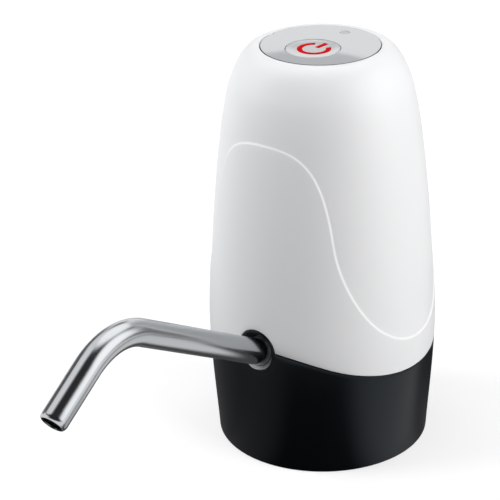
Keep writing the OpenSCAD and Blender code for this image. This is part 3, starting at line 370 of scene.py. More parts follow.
def collar_corner(radius, lift):
    """Angle round the spout at which a circle on the skin meets the parting line."""
    alpha = np.radians(np.linspace(120, 40, 900))
    ring = round_spout(alpha, radius)
    return np.interp(0, ring[:, 2] - parting(ring[:, 0]) - lift, alpha)


def front_and_rest(arc, radius, lift, count):
    """Columns round the body: along an arc of the collar's circle in front, then along the parting line."""
    ring = round_spout(arc, radius)
    front = np.arctan2(ring[:, 0], -ring[:, 1])
    rest = np.linspace(front[-1], 2 * math.pi + front[0], count)[1:-1]
    angle = np.concatenate([front, rest])
    return angle, np.concatenate([run_at(ring[:, 2]), parting_run(rest, lift)])


def sideways(angle, along):
    """Unit steps across a closed line on the skin: share round the body and share up it."""
    d_angle = (np.roll(angle, -1) - np.roll(angle, 1)) % (2 * math.pi)
    d_along = np.roll(along, -1) - np.roll(along, 1)
    d_round = on_outline(skin_proud, along)[0] * d_angle
    size = np.hypot(d_round, d_along)
    return -d_along / size, d_round / size


def moved(angle, along, step):
    """A closed line on the skin, moved sideways over it by step."""
    across_share, up_share = sideways(angle, along)
    radius = on_outline(skin_proud, along)[0]
    return angle + across_share * step / radius, along + up_share * step


def smooth(degrees=40):
    """Smooths the new piece, apart from its edges that are sharper than this."""
    bpy.ops.object.shade_smooth_by_angle(angle=math.radians(degrees))


def closed_up(weld):
    """Welds the new piece's seams, turns its faces outwards and smooths it."""
    bpy.ops.object.mode_set(mode="EDIT")
    bpy.ops.mesh.select_all(action="SELECT")
    bpy.ops.mesh.remove_doubles(threshold=weld)
    bpy.ops.mesh.normals_make_consistent(inside=False)
    bpy.ops.object.mode_set(mode="OBJECT")
    smooth()


def woven(name, rows):
    """A closed ring-shaped piece from its rows of points, each row one loop round the piece."""
    points = np.stack([*rows, rows[0]]) * MM
    points = np.concatenate([points, points[:, :1]], axis=1)
    count, columns = points.shape[:2]
    bpy.ops.mesh.primitive_grid_add(x_subdivisions=columns - 1, y_subdivisions=count - 1)
    piece = bpy.context.object
    piece.name = name
    piece.data.vertices.foreach_set("co", points.astype(np.float32).ravel())
    closed_up(1e-7)
    return piece


parting_gap, columns_behind = 0.25, 336
edge_turn = np.radians([30, 60, 90])
base_corner = collar_corner(collar_r, -parting_gap / 2)
base_arc = np.linspace(2 * math.pi - base_corner, base_corner, 53)
base_angle, base_edge = front_and_rest(base_arc, collar_r, -parting_gap / 2, columns_behind)
base_round = np.where(np.arange(len(base_angle)) < len(base_arc), 0.01, 0.2)
even_angle = (np.arange(len(base_angle)) - len(base_arc) // 2) * 2 * math.pi / len(base_angle)
grip_seat = ((29.0, 1.2), (32.55, 1.2), (32.55, 0.15), (32.7, 0.0))
deck = ((34.6, 25.0), (5.0, 25.0), (5.0, 23.0), (28.6, 23.0), (29.0, 22.6))
base_rows = [placed(r, even_angle, z) for r, z in grip_seat]
for a in np.radians([0, 22, 45, 67]):
    round_r, round_z = foot_r - foot_round + foot_round * math.sin(a), foot_round - foot_round * math.cos(a)
    base_rows.append(placed(round_r, even_angle, round_z))
skin_angle, skin_run = moved(base_angle, base_edge, -base_round)
for share in np.linspace(0, 1, 30):
    radius, z = on_outline(skin_proud, skin_run * share)
    base_rows.append(placed(radius, even_angle + (skin_angle - even_angle) * share, z))
for a in edge_turn:
    edge_angle, edge_run = moved(base_angle, base_edge, -base_round * (1 - math.sin(a)))
    radius, z = on_outline(skin_proud, edge_run)
    base_rows.append(placed(radius - base_round * (1 - math.cos(a)), edge_angle, z))
inner_r, inner_z = on_outline(skin_inner, base_edge)
base_rows.append(placed(inner_r, base_angle, inner_z))
base_rows += [placed(r, even_angle, z) for r, z in deck]
base_shell = woven("black_base", base_rows)

collar_front = np.linspace(-base_corner, base_corner, 45)
collar_below = np.linspace(base_corner, 2 * math.pi - base_corner, 53)[1:-1]
collar_alpha = np.concatenate([collar_front, collar_below])
collar_round = np.where(np.arange(len(collar_alpha)) < len(collar_front), 0.12, 0.004)[:, None]
bore_round = 0.3
collar_rows = [
    round_spout(collar_alpha, collar_r, collar_depth),
    round_spout(collar_alpha, collar_r) - collar_round * spout_out,
    round_spout(collar_alpha, collar_r - 0.3 * collar_round) - 0.3 * collar_round * spout_out,
]
collar_rows += [round_spout(collar_alpha, r) for r in (6.85, 6.6, 6.3, 6.0)]
for a in edge_turn:
    r = collar_bore_r + bore_round * (1 - math.sin(a))
    collar_rows.append(round_spout(collar_alpha, r) - bore_round * (1 - math.cos(a)) * spout_out)
collar_rows.append(round_spout(collar_alpha, collar_bore_r) - 1.2 * spout_out)
collar_rows.append(round_spout(collar_alpha, collar_bore_r, collar_depth))
collar = woven("collar", collar_rows)


def joined(first, *others):
    bpy.ops.object.select_all(action="DESELECT")
    for piece in (first, *others):
        piece.select_set(True)
    bpy.context.view_layer.objects.active = first
    bpy.ops.object.join()
    return first


def shader_of(material):
    return material.node_tree.nodes["Principled BSDF"]


def new_material(name, roughness, metallic=0.0):
    """A node material, with its shader and its Object coordinates."""
    material = bpy.data.materials.new(name)
    material.use_nodes = True
    shader = shader_of(material)
    shader.inputs["Roughness"].default_value = roughness
    shader.inputs["Metallic"].default_value = metallic
    return material, shader, source(material.node_tree, "ShaderNodeTexCoord", "Object")


def feed(shader, name, value):
    shader.id_data.links.new(value.socket, shader.inputs[name])


def moulded(
    name, colour, roughness, mottle=0.02, grain=2500, depth=0.004, metallic=0.0, spread=0.05, draw=(1, 1, 1)
):
    """A moulded or drawn surface: faint clouds in the colour, fine grain in the gloss and the relief."""
    material, shader, place = new_material(name, roughness, metallic)
    clouds = place.noise(55, 3)
    fine = place.stretched(draw).noise(grain, 2)
    dark, light = ((*(c * k for c in colour), 1) for k in (1 - mottle, 1 + mottle))
    feed(shader, "Base Color", clouds.between(dark, light))
    feed(shader, "Roughness", clouds * spread + fine * spread + (roughness - spread))
    feed(shader, "Normal", fine.bump(0.25, depth * MM))
    return material


def dress(piece, material):
    piece.data.materials.clear()
    piece.data.materials.append(material)


black_plastic = moulded("black_abs", (0.0036, 0.0046, 0.0056), 0.3, mottle=0.06, depth=0.006)
shader_of(black_plastic).inputs["IOR"].default_value = 1.42
shader_of(black_plastic).inputs["Specular Tint"].default_value = (0.8, 0.9, 1, 1)
base_shell = joined(base_shell, collar)
dress(base_shell, black_plastic)
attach(base_shell, "housing")
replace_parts(base_shell, "base_shell")


# White shell: one moulded cover from the parting line to the panel's seat, in satin plastic.
# Its lower field stands a third of a millimetre proud, and the step's bevel catches the light.
relief = 0.35
skin_sunk = body_outline(relief, foot_round, crown_z)
top_run = run[-1]


def field_edge(angle):
    """Distance up the outline at which the raised field ends."""
    upper = bezier((0, 111.4), (13.7, 111.4), (19.2, 105.5), (22.9, 80.9), 300)
    lower = bezier((22.9, 80.9), (24.6, 69.7), (31.4, 52.7), (37.5, 43.6), 300)
    line = np.concatenate([upper, lower[1:]])
    low, high = np.full_like(angle, 43.0), np.full_like(angle, 112.0)
    for _ in range(50):
        z = (low + high) / 2
        below = z < np.interp(radius_at(z) * abs(np.sin(angle)), line[:, 0], line[:, 1])
        low, high = np.where(below, z, low), np.where(below, high, z)
    return run_at((low + high) / 2)


def skin(angle, along, sink, pull=0.0):
    """Points on the shell: sink runs from 0 on the raised field to 1 above it."""
    radius, z = on_outline(skin_proud, along)
    sunk_radius, sunk_z = on_outline(skin_sunk, along)
    return placed(radius + (sunk_radius - radius) * sink - pull, angle, z + (sunk_z - z) * sink)


mouth_r, edge_round, step_w, lip = 7.1, 0.22, 0.95, 0.5
panel_seat = ((crown_r, 133.4), (16.45, 133.4), (16.45, inner_top))
shell_corner = collar_corner(mouth_r, parting_gap / 2)
mouth_arc = np.linspace(-shell_corner, shell_corner, 45)
shell_angle, shell_edge = front_and_rest(mouth_arc, mouth_r, parting_gap / 2, columns_behind)
shell_rows = []
for a in np.radians([0, 30, 60]):
    angle, along = moved(shell_angle, shell_edge, edge_round * (1 - math.cos(a)))
    shell_rows.append(skin(angle, along, 0, edge_round * (1 - math.sin(a))))
low_angle, low_run = moved(shell_angle, shell_edge, edge_round)
step_line = field_edge(shell_angle)
under_angle, under_run = moved(shell_angle, step_line, -step_w / 2)
for share in np.linspace(0, 1, 34)[:-1]:
    angle, along = low_angle + (under_angle - low_angle) * share, low_run + (under_run - low_run) * share
    shell_rows.append(skin(angle, along, 0))
for share in np.linspace(0, 1, 9):
    angle, along = moved(shell_angle, step_line, (share - 0.5) * step_w)
    shell_rows.append(skin(angle, along, share * share * (3 - 2 * share)))
over_angle, over_run = moved(shell_angle, step_line, step_w / 2)
for share in np.linspace(0, 1, 50)[1:]:
    angle = over_angle + (shell_angle - over_angle) * share
    along = over_run + (top_run - lip - over_run) * share
    shell_rows.append(skin(angle, along, 1))
for a in edge_turn:
    lip_r, lip_z = crown_r + lip * (1 - math.sin(a)), crown_z - lip * (1 - math.cos(a))
    shell_rows.append(placed(lip_r, shell_angle, lip_z))
shell_rows += [placed(r, shell_angle, z) for r, z in panel_seat]
for share in np.linspace(1, 0, 16):
    inner_r, inner_z = on_outline(skin_inner, shell_edge + (top_run - shell_edge) * share)
    shell_rows.append(placed(inner_r, shell_angle, inner_z))
white_shell = woven("white_shell", shell_rows)


def modify(piece, kind, **settings):
    """Adds a modifier to a piece and applies it."""
    bpy.context.view_layer.objects.active = piece
    modifier = piece.modifiers.new(kind.lower(), kind)
    for name, setting in settings.items():
        setattr(modifier, name, setting)
    bpy.ops.object.modifier_apply(modifier=modifier.name)


def cut(piece, *cutters):
    for cutter in cutters:
        modify(piece, "BOOLEAN", operation="DIFFERENCE", object=cutter, solver="EXACT")
        bpy.data.objects.remove(cutter)


slot_w, slot_h, slot_z, slot_round = 9.2, 4.4, 124.0, 0.2
slot_y, slot_depth = 31, 12
bpy.ops.mesh.primitive_cylinder_add(
    vertices=64,
    radius=slot_h / 2 * MM,
    depth=slot_depth * MM,
    location=(0, slot_y * MM, slot_z * MM),
    rotation=(math.pi / 2, 0, 0),
)
charging_slot = bpy.context.object
bpy.ops.object.transform_apply()
for vertex in charging_slot.data.vertices:
    if abs(vertex.co.x) > 1e-5:
        vertex.co.x += math.copysign((slot_w - slot_h) / 2 * MM, vertex.co.x)
cut(white_shell, charging_slot)
meeting = {}
for face in white_shell.data.polygons:
    if face.center.y > 0.02 and abs(face.center.x) < 0.007 and abs(face.center.z - slot_z * MM) < 0.005:
        for edge_key in face.edge_keys:
            meeting.setdefault(edge_key, []).append(face.normal.copy())
bpy.ops.object.mode_set(mode="EDIT")
bpy.ops.mesh.select_mode(type="EDGE")
bpy.ops.mesh.select_all(action="DESELECT")
bpy.ops.object.mode_set(mode="OBJECT")
for edge in white_shell.data.edges:
    normals = meeting.get(edge.key, ())
    edge.select = len(normals) == 2 and normals[0].angle(normals[1]) > 0.8
bpy.ops.object.mode_set(mode="EDIT")
bpy.ops.mesh.bevel(offset=slot_round * MM, segments=3)
bpy.ops.mesh.select_mode(type="VERT")
bpy.ops.object.mode_set(mode="OBJECT")


def block(place, size):
    """A cuboid at its place and size in millimetres."""
    bpy.ops.mesh.primitive_cube_add(size=1, location=[c * MM for c in place])
    piece = bpy.context.object
    piece.scale = [c * MM for c in size]
    bpy.ops.object.transform_apply()
    return piece


key = block((-18.86, 0, 134.15), (0.8, 0.7, 1.5))
modify(key, "BEVEL", width=0.1 * MM, segments=2)
white_shell = joined(white_shell, key)
smooth()
white_plastic = moulded("white_abs", (0.80, 0.805, 0.81), 0.42, mottle=0.008, depth=0.005)
dress(white_shell, white_plastic)
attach(white_shell, "housing")
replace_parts(white_shell, "upper_shell")


# Spout: one polished stainless tube, bent once, with its end spun in to a smooth lip.
# It plugs into the bush at the bottom of the collar.
spout_r, spout_wall = 4.25, 0.5
bend_r, bend_angle = 24, math.radians(62.2)
spout_start, spout_reach, tip_len = -17.5, 64, 19.2
lip_len, lip_in = 1.7, 0.9
bpy.ops.mesh.primitive_circle_add(
    vertices=96,
    radius=spout_r * MM,
    location=(spout_exit + spout_start * spout_out) * MM,
    rotation=(math.pi / 2 - spout_rise, 0, 0),
)
spout = bpy.context.object
spout.name = "steel_spout"
bpy.ops.object.transform_apply()
bpy.ops.object.mode_set(mode="EDIT")
bpy.ops.mesh.select_all(action="SELECT")


def lengthen(direction, length, steps):
    step = tuple(direction * length / steps * MM)
    for _ in range(steps):
        bpy.ops.mesh.extrude_region_move(TRANSFORM_OT_translate={"value": step})


lengthen(spout_out, spout_reach - spout_start, 14)
bend_centre = spout_exit + spout_reach * spout_out - bend_r * spout_up
bpy.ops.mesh.spin(steps=40, angle=-bend_angle, center=bend_centre * MM, axis=(1, 0, 0))
tip_angle = spout_rise - bend_angle
tip_out = np.array([0, -math.cos(tip_angle), math.sin(tip_angle)])
tip_up = np.array([0, math.sin(tip_angle), math.cos(tip_angle)])
lengthen(tip_out, tip_len - lip_len, 6)
tip_centre = bend_centre + bend_r * tip_up + (tip_len - lip_len) * tip_out
before, last_r = 0.0, spout_r
for a in np.radians([15, 30, 45, 60, 72, 82, 90]):
    lengthen(tip_out, lip_len * math.sin(a) - before, 1)
    before = lip_len * math.sin(a)
    new_r = spout_r - lip_in * (1 - math.cos(a))
    ring_centre = tuple((tip_centre + before * tip_out) * MM)
    bpy.ops.transform.resize(value=(new_r / last_r,) * 3, center_override=ring_centre)
    last_r = new_r
bpy.ops.mesh.select_all(action="SELECT")
bpy.ops.mesh.normals_make_consistent(inside=False)
bpy.ops.object.mode_set(mode="OBJECT")
modify(spout, "SOLIDIFY", thickness=spout_wall * MM, offset=-1)
smooth(50)
steel = moulded(
    "polished_stainless", (0.585, 0.60, 0.62), 0.2,
    mottle=0.01, grain=1200, depth=0.0015, metallic=1.0, spread=0.02,
)
dress(spout, steel)
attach(spout, "spout")
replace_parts(spout, "spout_tube")


# Spout bush: a turned ring of grey acetal that turns in the collar and guides the tube.
# Its outer lip stands up a little and catches the light under the tube.
def turned(name, profile, steps=128, place=(0, 0)):
    """A piece turned about an upright axis from its half profile of (radius, height) points."""
    bpy.ops.mesh.primitive_plane_add(size=MM, location=(0, 0, 0))
    piece = bpy.context.object
    piece.name = name
    bpy.ops.object.mode_set(mode="EDIT")
    bpy.ops.mesh.select_all(action="SELECT")
    bpy.ops.mesh.merge(type="CENTER")
    bpy.ops.transform.translate(value=(profile[0][0] * MM, 0, profile[0][1] * MM))
    for (r0, z0), (r1, z1) in zip(profile, profile[1:]):
        step = ((r1 - r0) * MM, 0, (z1 - z0) * MM)
        bpy.ops.mesh.extrude_vertices_move(TRANSFORM_OT_translate={"value": step})
    bpy.ops.mesh.select_all(action="SELECT")
    bpy.ops.mesh.spin(steps=steps, angle=2 * math.pi, center=(0, 0, 0), axis=(0, 0, 1), use_auto_merge=True)
    bpy.ops.mesh.select_all(action="SELECT")
    bpy.ops.transform.translate(value=(place[0] * MM, place[1] * MM, 0))
    closed_up(1e-6)
    return piece


bush_profile = [(4.33, -6.4), (5.58, -6.4), (5.65, -6.3), (5.65, -2.65), (5.58, -2.47), (5.42, -2.4)]
bush_profile += [(5.24, -2.45), (5.1, -2.7), (4.8, -2.85), (4.5, -2.8), (4.33, -2.95), (4.33, -6.4)]
bush = turned("spout_guide", bush_profile, 96)
bush.rotation_euler = (math.pi / 2 - spout_rise, 0, 0)
bush.location = spout_exit * MM
bpy.ops.object.transform_apply()
bush_grey = moulded("acetal_grey", (0.42, 0.425, 0.43), 0.3, mottle=0.02)
dress(bush, bush_grey)
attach(bush, "swivel")
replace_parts(bush, "spout_bush")


# Top panel: a flat light grey disc let into the shell, with round holes for the button and the window.
# A notch in its edge locates it, and its side wall is painted dark grey: painted shade of the seat's narrow
# gap.
def disc(name, radius, z, height, place=(0, 0), sides=128):
    bpy.ops.mesh.primitive_cylinder_add(
        vertices=sides,
        radius=radius * MM,
        depth=height * MM,
        location=(place[0] * MM, place[1] * MM, (z + height / 2) * MM),
    )
    piece = bpy.context.object
    piece.name = name
    bpy.ops.object.transform_apply()
    return piece


button_y, lens_y = -4.2, 13.8
panel_r, panel_z, panel_t = 19, 133.4, 1.6
button_hole_r, lens_hole_r, drill_z, drill_len = 8.85, 1.62, 130, 10
panel = disc("top_panel_face", panel_r, panel_z, panel_t, sides=192)
notch = block((-19.2, 0, 135), (1.8, 1, 6))
button_hole = disc("button_hole", button_hole_r, drill_z, drill_len, (0, button_y))
lens_hole = disc("lens_hole", lens_hole_r, drill_z, drill_len, (0, lens_y), 48)
cut(panel, button_hole, lens_hole, notch)
modify(panel, "BEVEL", width=0.12 * MM, segments=2, limit_method="ANGLE", angle_limit=math.radians(50))
smooth()
panel_grey = moulded("panel_grey", (0.515, 0.525, 0.54), 0.02, mottle=0.006, depth=0.0, spread=0.008)
panel_shader = shader_of(panel_grey)
panel_shader.inputs["IOR"].default_value = 2.0
panel_face = Value(panel_shader.inputs["Base Color"].links[0].from_socket)
panel_spot = Value(panel_grey.node_tree.nodes["Texture Coordinate"].outputs["Object"])
# Painted shade: the disc's side wall and outermost rim get a dark grey base colour, standing in for the
# shadow in the seat's gap.
panel_wall_painted_shade = panel_spot.stretched((1, 1, 0)).length().ramp((panel_r - 0.07) * MM, (panel_r - 0.03) * MM)
feed(panel_shader, "Base Color", panel_wall_painted_shade.between(panel_face, (0.12, 0.12, 0.125, 1)))
dress(panel, panel_grey)
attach(panel, "housing")
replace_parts(panel, "top_panel")


# Power button: a dished cap on a stem, held up by the switch below it.
# It is the same light grey as the panel, with a rounded rim.
button_r, button_top, rim_round = 8.7, 134.9, 0.25
dish_r, dish_depth, dish_flat = 8.1, 0.3, 4.6


def dish_z(radius):
    """Height of the dish: a flat floor that curves up to the rim."""
    wall_share = min(max((radius - dish_flat) / (dish_r - dish_flat), 0), 1)
    return button_top - dish_depth * (1 - wall_share * wall_share)


rim_r, rim_z = button_r - rim_round, button_top - rim_round
button_profile = [(r, dish_z(r)) for r in np.linspace(0, dish_r, 28)]
button_profile += [(8.3, button_top), (rim_r, button_top)]
button_profile += [(rim_r + rim_round * math.sin(a), rim_z + rim_round * math.cos(a)) for a in edge_turn]
button_profile += [(button_r, 133.35), (9.6, 133.3), (9.6, 132.4), (2.5, 132.4), (2.5, 127.1), (0, 127.1)]
button = turned("power_button_cap", button_profile, 144, (0, button_y))
button_grey = moulded("button_grey", (0.55, 0.555, 0.565), 0.16, mottle=0.006, depth=0.0008, spread=0.02)
shader_of(button_grey).inputs["IOR"].default_value = 2.0
dress(button, button_grey)
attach(button, "button")
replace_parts(button, "power_button")


# Power symbol: a red open ring with a bar in its opening, inlaid in the button's dish.
# The opening faces the back of the pump, turned a little to the right.
icon_r, icon_stroke, icon_opening = 5.4, 1.65, math.radians(70)
bar_from, bar_to = 1.3, 6.0
inlay_lift, inlay_t, icon_turn, icon_y = 0.03, 0.3, math.radians(-6), 0.6
bpy.ops.mesh.primitive_circle_add(vertices=180, radius=icon_r * MM, location=(0, 0, 0))
icon = bpy.context.object
icon.name = "power_symbol"
bpy.ops.object.mode_set(mode="EDIT")
bpy.ops.mesh.select_all(action="DESELECT")
bpy.ops.object.mode_set(mode="OBJECT")
for vertex in icon.data.vertices:
    vertex.select = abs(math.atan2(vertex.co.x, vertex.co.y)) < icon_opening / 2
bpy.ops.object.mode_set(mode="EDIT")
bpy.ops.mesh.delete(type="VERT")
bpy.ops.mesh.select_all(action="SELECT")
ring_steps = 6
for step in range(ring_steps):
    outer, inner = (icon_r - icon_stroke * (step + k) / ring_steps for k in (0, 1))
    bpy.ops.mesh.extrude_edges_move(TRANSFORM_OT_translate={"value": (0, 0, 0)})
    bpy.ops.transform.resize(value=(inner / outer, inner / outer, 1), center_override=(0, 0, 0))
bpy.ops.object.mode_set(mode="OBJECT")
bar_middle = (0, (bar_from + bar_to) / 2 * MM, 0)
bpy.ops.mesh.primitive_grid_add(x_subdivisions=6, y_subdivisions=12, size=1, location=bar_middle)
bar = bpy.context.object
bar.scale = (icon_stroke * MM, (bar_to - bar_from) * MM, 1)
bpy.ops.object.transform_apply()
icon = joined(icon, bar)
bpy.ops.object.mode_set(mode="EDIT")
bpy.ops.mesh.select_all(action="SELECT")
bpy.ops.mesh.normals_make_consistent(inside=False)
bpy.ops.object.mode_set(mode="OBJECT")
icon.rotation_euler = (0, 0, icon_turn)
icon.location = (0, icon_y * MM, 0)
bpy.ops.object.transform_apply()
for vertex in icon.data.vertices:
    vertex.co.z = (dish_z(math.hypot(vertex.co.x, vertex.co.y) / MM) + inlay_lift) * MM
    vertex.co.y += button_y * MM
modify(icon, "SOLIDIFY", thickness=inlay_t * MM, offset=-1)
smooth()
icon_red = moulded("symbol_red", (0.54, 0.005, 0.008), 0.5, mottle=0.05, depth=0.0008)
shader_of(icon_red).inputs["IOR"].default_value = 1.06
dress(icon, icon_red)
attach(icon, "button")
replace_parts(icon, "power_icon")


# Window: a small grey light guide for the charge light, with a shallow dish in its face.
# It is pushed into the panel from below, up to its flange.
lens_profile = [(r, 134.72 + 0.1 * (r / 1.3) ** 2) for r in np.linspace(0, 1.3, 8)]
lens_profile += [(1.45, 134.88), (1.55, 134.8), (1.55, 133.4), (2.35, 133.4), (2.35, 132.5)]
lens_profile += [(1.55, 132.5), (1.55, 129.5), (0, 129.5)]
window = turned("light_window", lens_profile, 48, (0, lens_y))
window_grey = moulded("window_smoke", (0.5, 0.505, 0.515), 0.3, mottle=0.03, depth=0.0008)
dress(window, window_grey)
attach(window, "housing")
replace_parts(window, "status_lens")


# Neck grip: a soft black sleeve with three lips, pressed into the socket under the deck.
# It holds the pump on the bottle's neck, and its flange is the foot that the pump stands on.
grip_profile = [(27.95, 0.0), (32.15, 0.0), (32.38, 0.08), (32.45, 0.3), (32.45, 1.05), (32.36, 1.17)]
grip_profile += [(28.97, 1.17), (28.97, 8.88), (28.87, 9.0), (28.4, 9.0), (28.15, 8.75)]
for lip_z in (7.4, 5.0, 2.6):
    grip_profile += [(28.15, lip_z + 0.9), (27.75, lip_z + 0.4), (27.6, lip_z)]
    grip_profile += [(27.75, lip_z - 0.4), (28.15, lip_z - 0.9)]
grip_profile += [(28.1, 0.8), (27.9, 0.25), (27.95, 0.0)]
neck_grip = turned("neck_sleeve", grip_profile, 160)
soft_black = moulded("black_rubber", (0.013, 0.0135, 0.014), 0.68, mottle=0.12, grain=1800, depth=0.012)
dress(neck_grip, soft_black)
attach(neck_grip, "housing")
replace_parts(neck_grip, "neck_grip")


# Inlet: a turned nylon spigot for the bottle's hose, clamped through the deck by its nut and a rubber washer.
# Three grooves below grip the hose, and the barbs above take the pump's own hose.
inlet_profile = [(2.5, 10.2), (3.55, 10.2), (3.85, 10.4), (4.0, 10.8)]
for groove_z in (12.6, 15.0, 17.4):
    inlet_profile += [(4.0, groove_z), (3.55, groove_z + 0.08), (3.5, groove_z + 0.25)]
    inlet_profile += [(3.55, groove_z + 0.42), (3.9, groove_z + 0.75)]
inlet_profile += [(4.0, 19.7), (4.25, 20.12), (4.5, 20.2), (7.75, 20.2), (7.93, 20.27), (8.0, 20.45)]
inlet_profile += [(8.0, 21.95), (7.93, 22.13), (7.75, 22.2), (4.9, 22.2), (4.9, 23.4)]
for thread_z in np.arange(23.5, 27.6, 0.8):
    inlet_profile += [(4.9, thread_z), (4.55, thread_z + 0.3), (4.55, thread_z + 0.4), (4.9, thread_z + 0.7)]
inlet_profile += [(4.7, 27.98), (3.58, 27.98)]
for barb_z in (29.0, 31.2, 33.4):
    inlet_profile += [(3.35, barb_z), (3.58, barb_z + 0.2), (3.4, barb_z + 1.5)]
inlet_profile += [(3.2, 35.0), (2.5, 35.0), (2.5, 10.2)]
inlet = turned("inlet_spigot", inlet_profile, 96)
nylon = moulded("natural_nylon", (0.74, 0.72, 0.66), 0.42, mottle=0.02, depth=0.006)
dress(inlet, nylon)
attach(inlet, "housing")
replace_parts(inlet, "inlet_fitting")
washer_profile = [(4.95, 22.22), (7.6, 22.22), (7.88, 22.35), (7.97, 22.6), (7.88, 22.85), (7.6, 22.98)]
washer_profile += [(4.95, 22.98), (4.95, 22.22)]
washer = turned("inlet_washer", washer_profile, 96)
dress(washer, soft_black)
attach(washer, "housing")
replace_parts(washer, "inlet_gasket")


def dress_nodes(material, *names):
    """Gives solids of the frame their finish."""
    for name in names:
        dress(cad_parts[name], material)


dress_nodes(nylon, "inlet_nut")


# Hoses: two short lengths of clear silicone, pushed over their barbs and held by spring steel clips.
# One rises from the inlet to the pump, and the other goes down from the pump to the outlet elbow.
clear_silicone = moulded("silicone", (0.78, 0.79, 0.78), 0.3, mottle=0.03, depth=0.004)
shader_of(clear_silicone).inputs["Subsurface Weight"].default_value = 0.15
shader_of(clear_silicone).inputs["Subsurface Radius"].default_value = (0.002, 0.002, 0.002)
hose_bore_r, hose_end_r, hose_r, hose_waist = 3.62, 5.0, 5.17, 0.12


def hose(name, y, low, high):
    profile = [(hose_bore_r, low), (hose_end_r, low), (hose_r, low + 0.2)]
    for share in np.linspace(0.05, 0.95, 12):
        profile.append((hose_r - hose_waist * math.sin(math.pi * share) ** 2, low + (high - low) * share))
    profile += [(hose_r, high - 0.2), (hose_end_r, high), (hose_bore_r, high), (hose_bore_r, low)]
    piece = turned(name, profile, 64, (0, y))
    dress(piece, clear_silicone)
    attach(piece, "housing")
    return piece


outlet_y = -19.47
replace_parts(hose("inlet_hose", 0, 28.05, 54.45), "suction_hose")
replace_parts(hose("outlet_hose", outlet_y, 44.0, 54.45), "delivery_hose")
spring_steel = moulded(
    "spring_steel", (0.55, 0.56, 0.57), 0.3,
    mottle=0.03, grain=900, depth=0.004, metallic=1.0, draw=(1, 1, 0.1),
)
dress_nodes(spring_steel, "hose_clips")
dress_nodes(nylon, "outlet_elbow")


# Gear pump: a nylon body and cover round two meshing acetal gears, screwed to the chassis under the motor.
# A rubber gasket closes the cover, and a lip seal keeps the water off the motor.
dress_nodes(nylon, "pump_body", "pump_cover")
dress_nodes(soft_black, "pump_gasket", "shaft_seal", "spout_seal")
acetal = moulded("gear_acetal", (0.80, 0.78, 0.72), 0.32, mottle=0.015, depth=0.003)
dress_nodes(acetal, "drive_gear", "driven_gear")
ground_steel = moulded(
    "ground_steel", (0.60, 0.60, 0.61), 0.22,
    mottle=0.02, grain=1500, depth=0.002, metallic=1.0, draw=(0.15, 0.15, 1),
)
dress_nodes(ground_steel, "idler_pin", "motor_shaft")


# Motor: a brushed motor in a plated steel can with two ferrite magnets and a nylon cap.
# Its three-pole armature is a stack of steel sheets with enamelled copper wound round the poles.
plated_steel = moulded(
    "plated_steel", (0.58, 0.585, 0.60), 0.28,
    mottle=0.05, grain=1100, depth=0.003, metallic=1.0, draw=(1, 1, 0.08),
)
dress_nodes(plated_steel, "motor_can", "battery_tabs")
dark_nylon = moulded("black_nylon", (0.016, 0.016, 0.017), 0.5, mottle=0.08, depth=0.01)
dress_nodes(dark_nylon, "motor_cap", "chassis")
ferrite = moulded("ferrite", (0.035, 0.034, 0.036), 0.55, mottle=0.2, grain=3000, depth=0.015)
dress_nodes(ferrite, "motor_magnets")
bronze = moulded("sintered_bronze", (0.56, 0.36, 0.17), 0.4, mottle=0.1, grain=4000, depth=0.01, metallic=1.0)
dress_nodes(bronze, "motor_bushes")
carbon = moulded("carbon", (0.02, 0.02, 0.021), 0.6, mottle=0.25, grain=3500, depth=0.012)
dress_nodes(carbon, "motor_brushes")
bare_copper = moulded(
    "copper", (0.76, 0.36, 0.18), 0.28,
    mottle=0.06, grain=1200, depth=0.003, metallic=1.0, draw=(0.2, 0.2, 1),
)
dress_nodes(bare_copper, "commutator", "motor_terminals")
sheet_steel, sheet_shader, place = new_material("steel_sheets", 0.4, 1.0)
sheet_wave = {"Vector": place, "Scale": 320, "Distortion": 0.0}
sheets = place.node("ShaderNodeTexWave", {"bands_direction": "Z"}, sheet_wave, "Fac")
feed(sheet_shader, "Base Color", sheets.between((0.22, 0.22, 0.23, 1), (0.42, 0.42, 0.43, 1)))
feed(sheet_shader, "Normal", sheets.bump(0.4, 0.05 * MM))
dress_nodes(sheet_steel, "armature_core")
motor_x, motor_y = -6.0, -9.73
coil_r, coil_shaft_r, coil_round = 6.85, 1.05, 0.8
arc = [(coil_round * math.sin(a), coil_round * math.cos(a)) for a in np.radians([0, 30, 60, 90])]
coils = []
for end, (low, high) in (("lower", (74.05, 76.45)), ("upper", (92.55, 94.95))):
    coil_profile = [(coil_shaft_r, low), (coil_shaft_r, high)]
    coil_profile += [(coil_r - coil_round + out, high - coil_round + up) for out, up in arc]
    coil_profile += [(coil_r - coil_round + up, low + coil_round - out) for out, up in arc]
    coil_profile.append((coil_shaft_r, low))
    coils.append(turned("coil_" + end, coil_profile, 72, (motor_x, motor_y)))
windings = joined(*coils)
windings.name = "copper_windings"
wire, wire_shader, place = new_material("enamelled_wire", 0.3, 0.9)
to_axis = (-motor_x * MM, -motor_y * MM, 0)
centred = place.node("ShaderNodeMapping", {}, {"Vector": place, "Location": to_axis})
turns = place.node(
    "ShaderNodeTexWave",
    {"wave_type": "RINGS", "rings_direction": "Z"},
    {"Vector": centred, "Scale": 800, "Distortion": 0.6, "Detail": 1},
    "Fac",
)
feed(wire_shader, "Base Color", turns.between((0.32, 0.10, 0.03, 1), (0.70, 0.28, 0.10, 1)))
feed(wire_shader, "Normal", turns.bump(0.7, 0.12 * MM))
dress(windings, wire)
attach(windings, "rotor")
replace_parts(windings, "armature_windings")


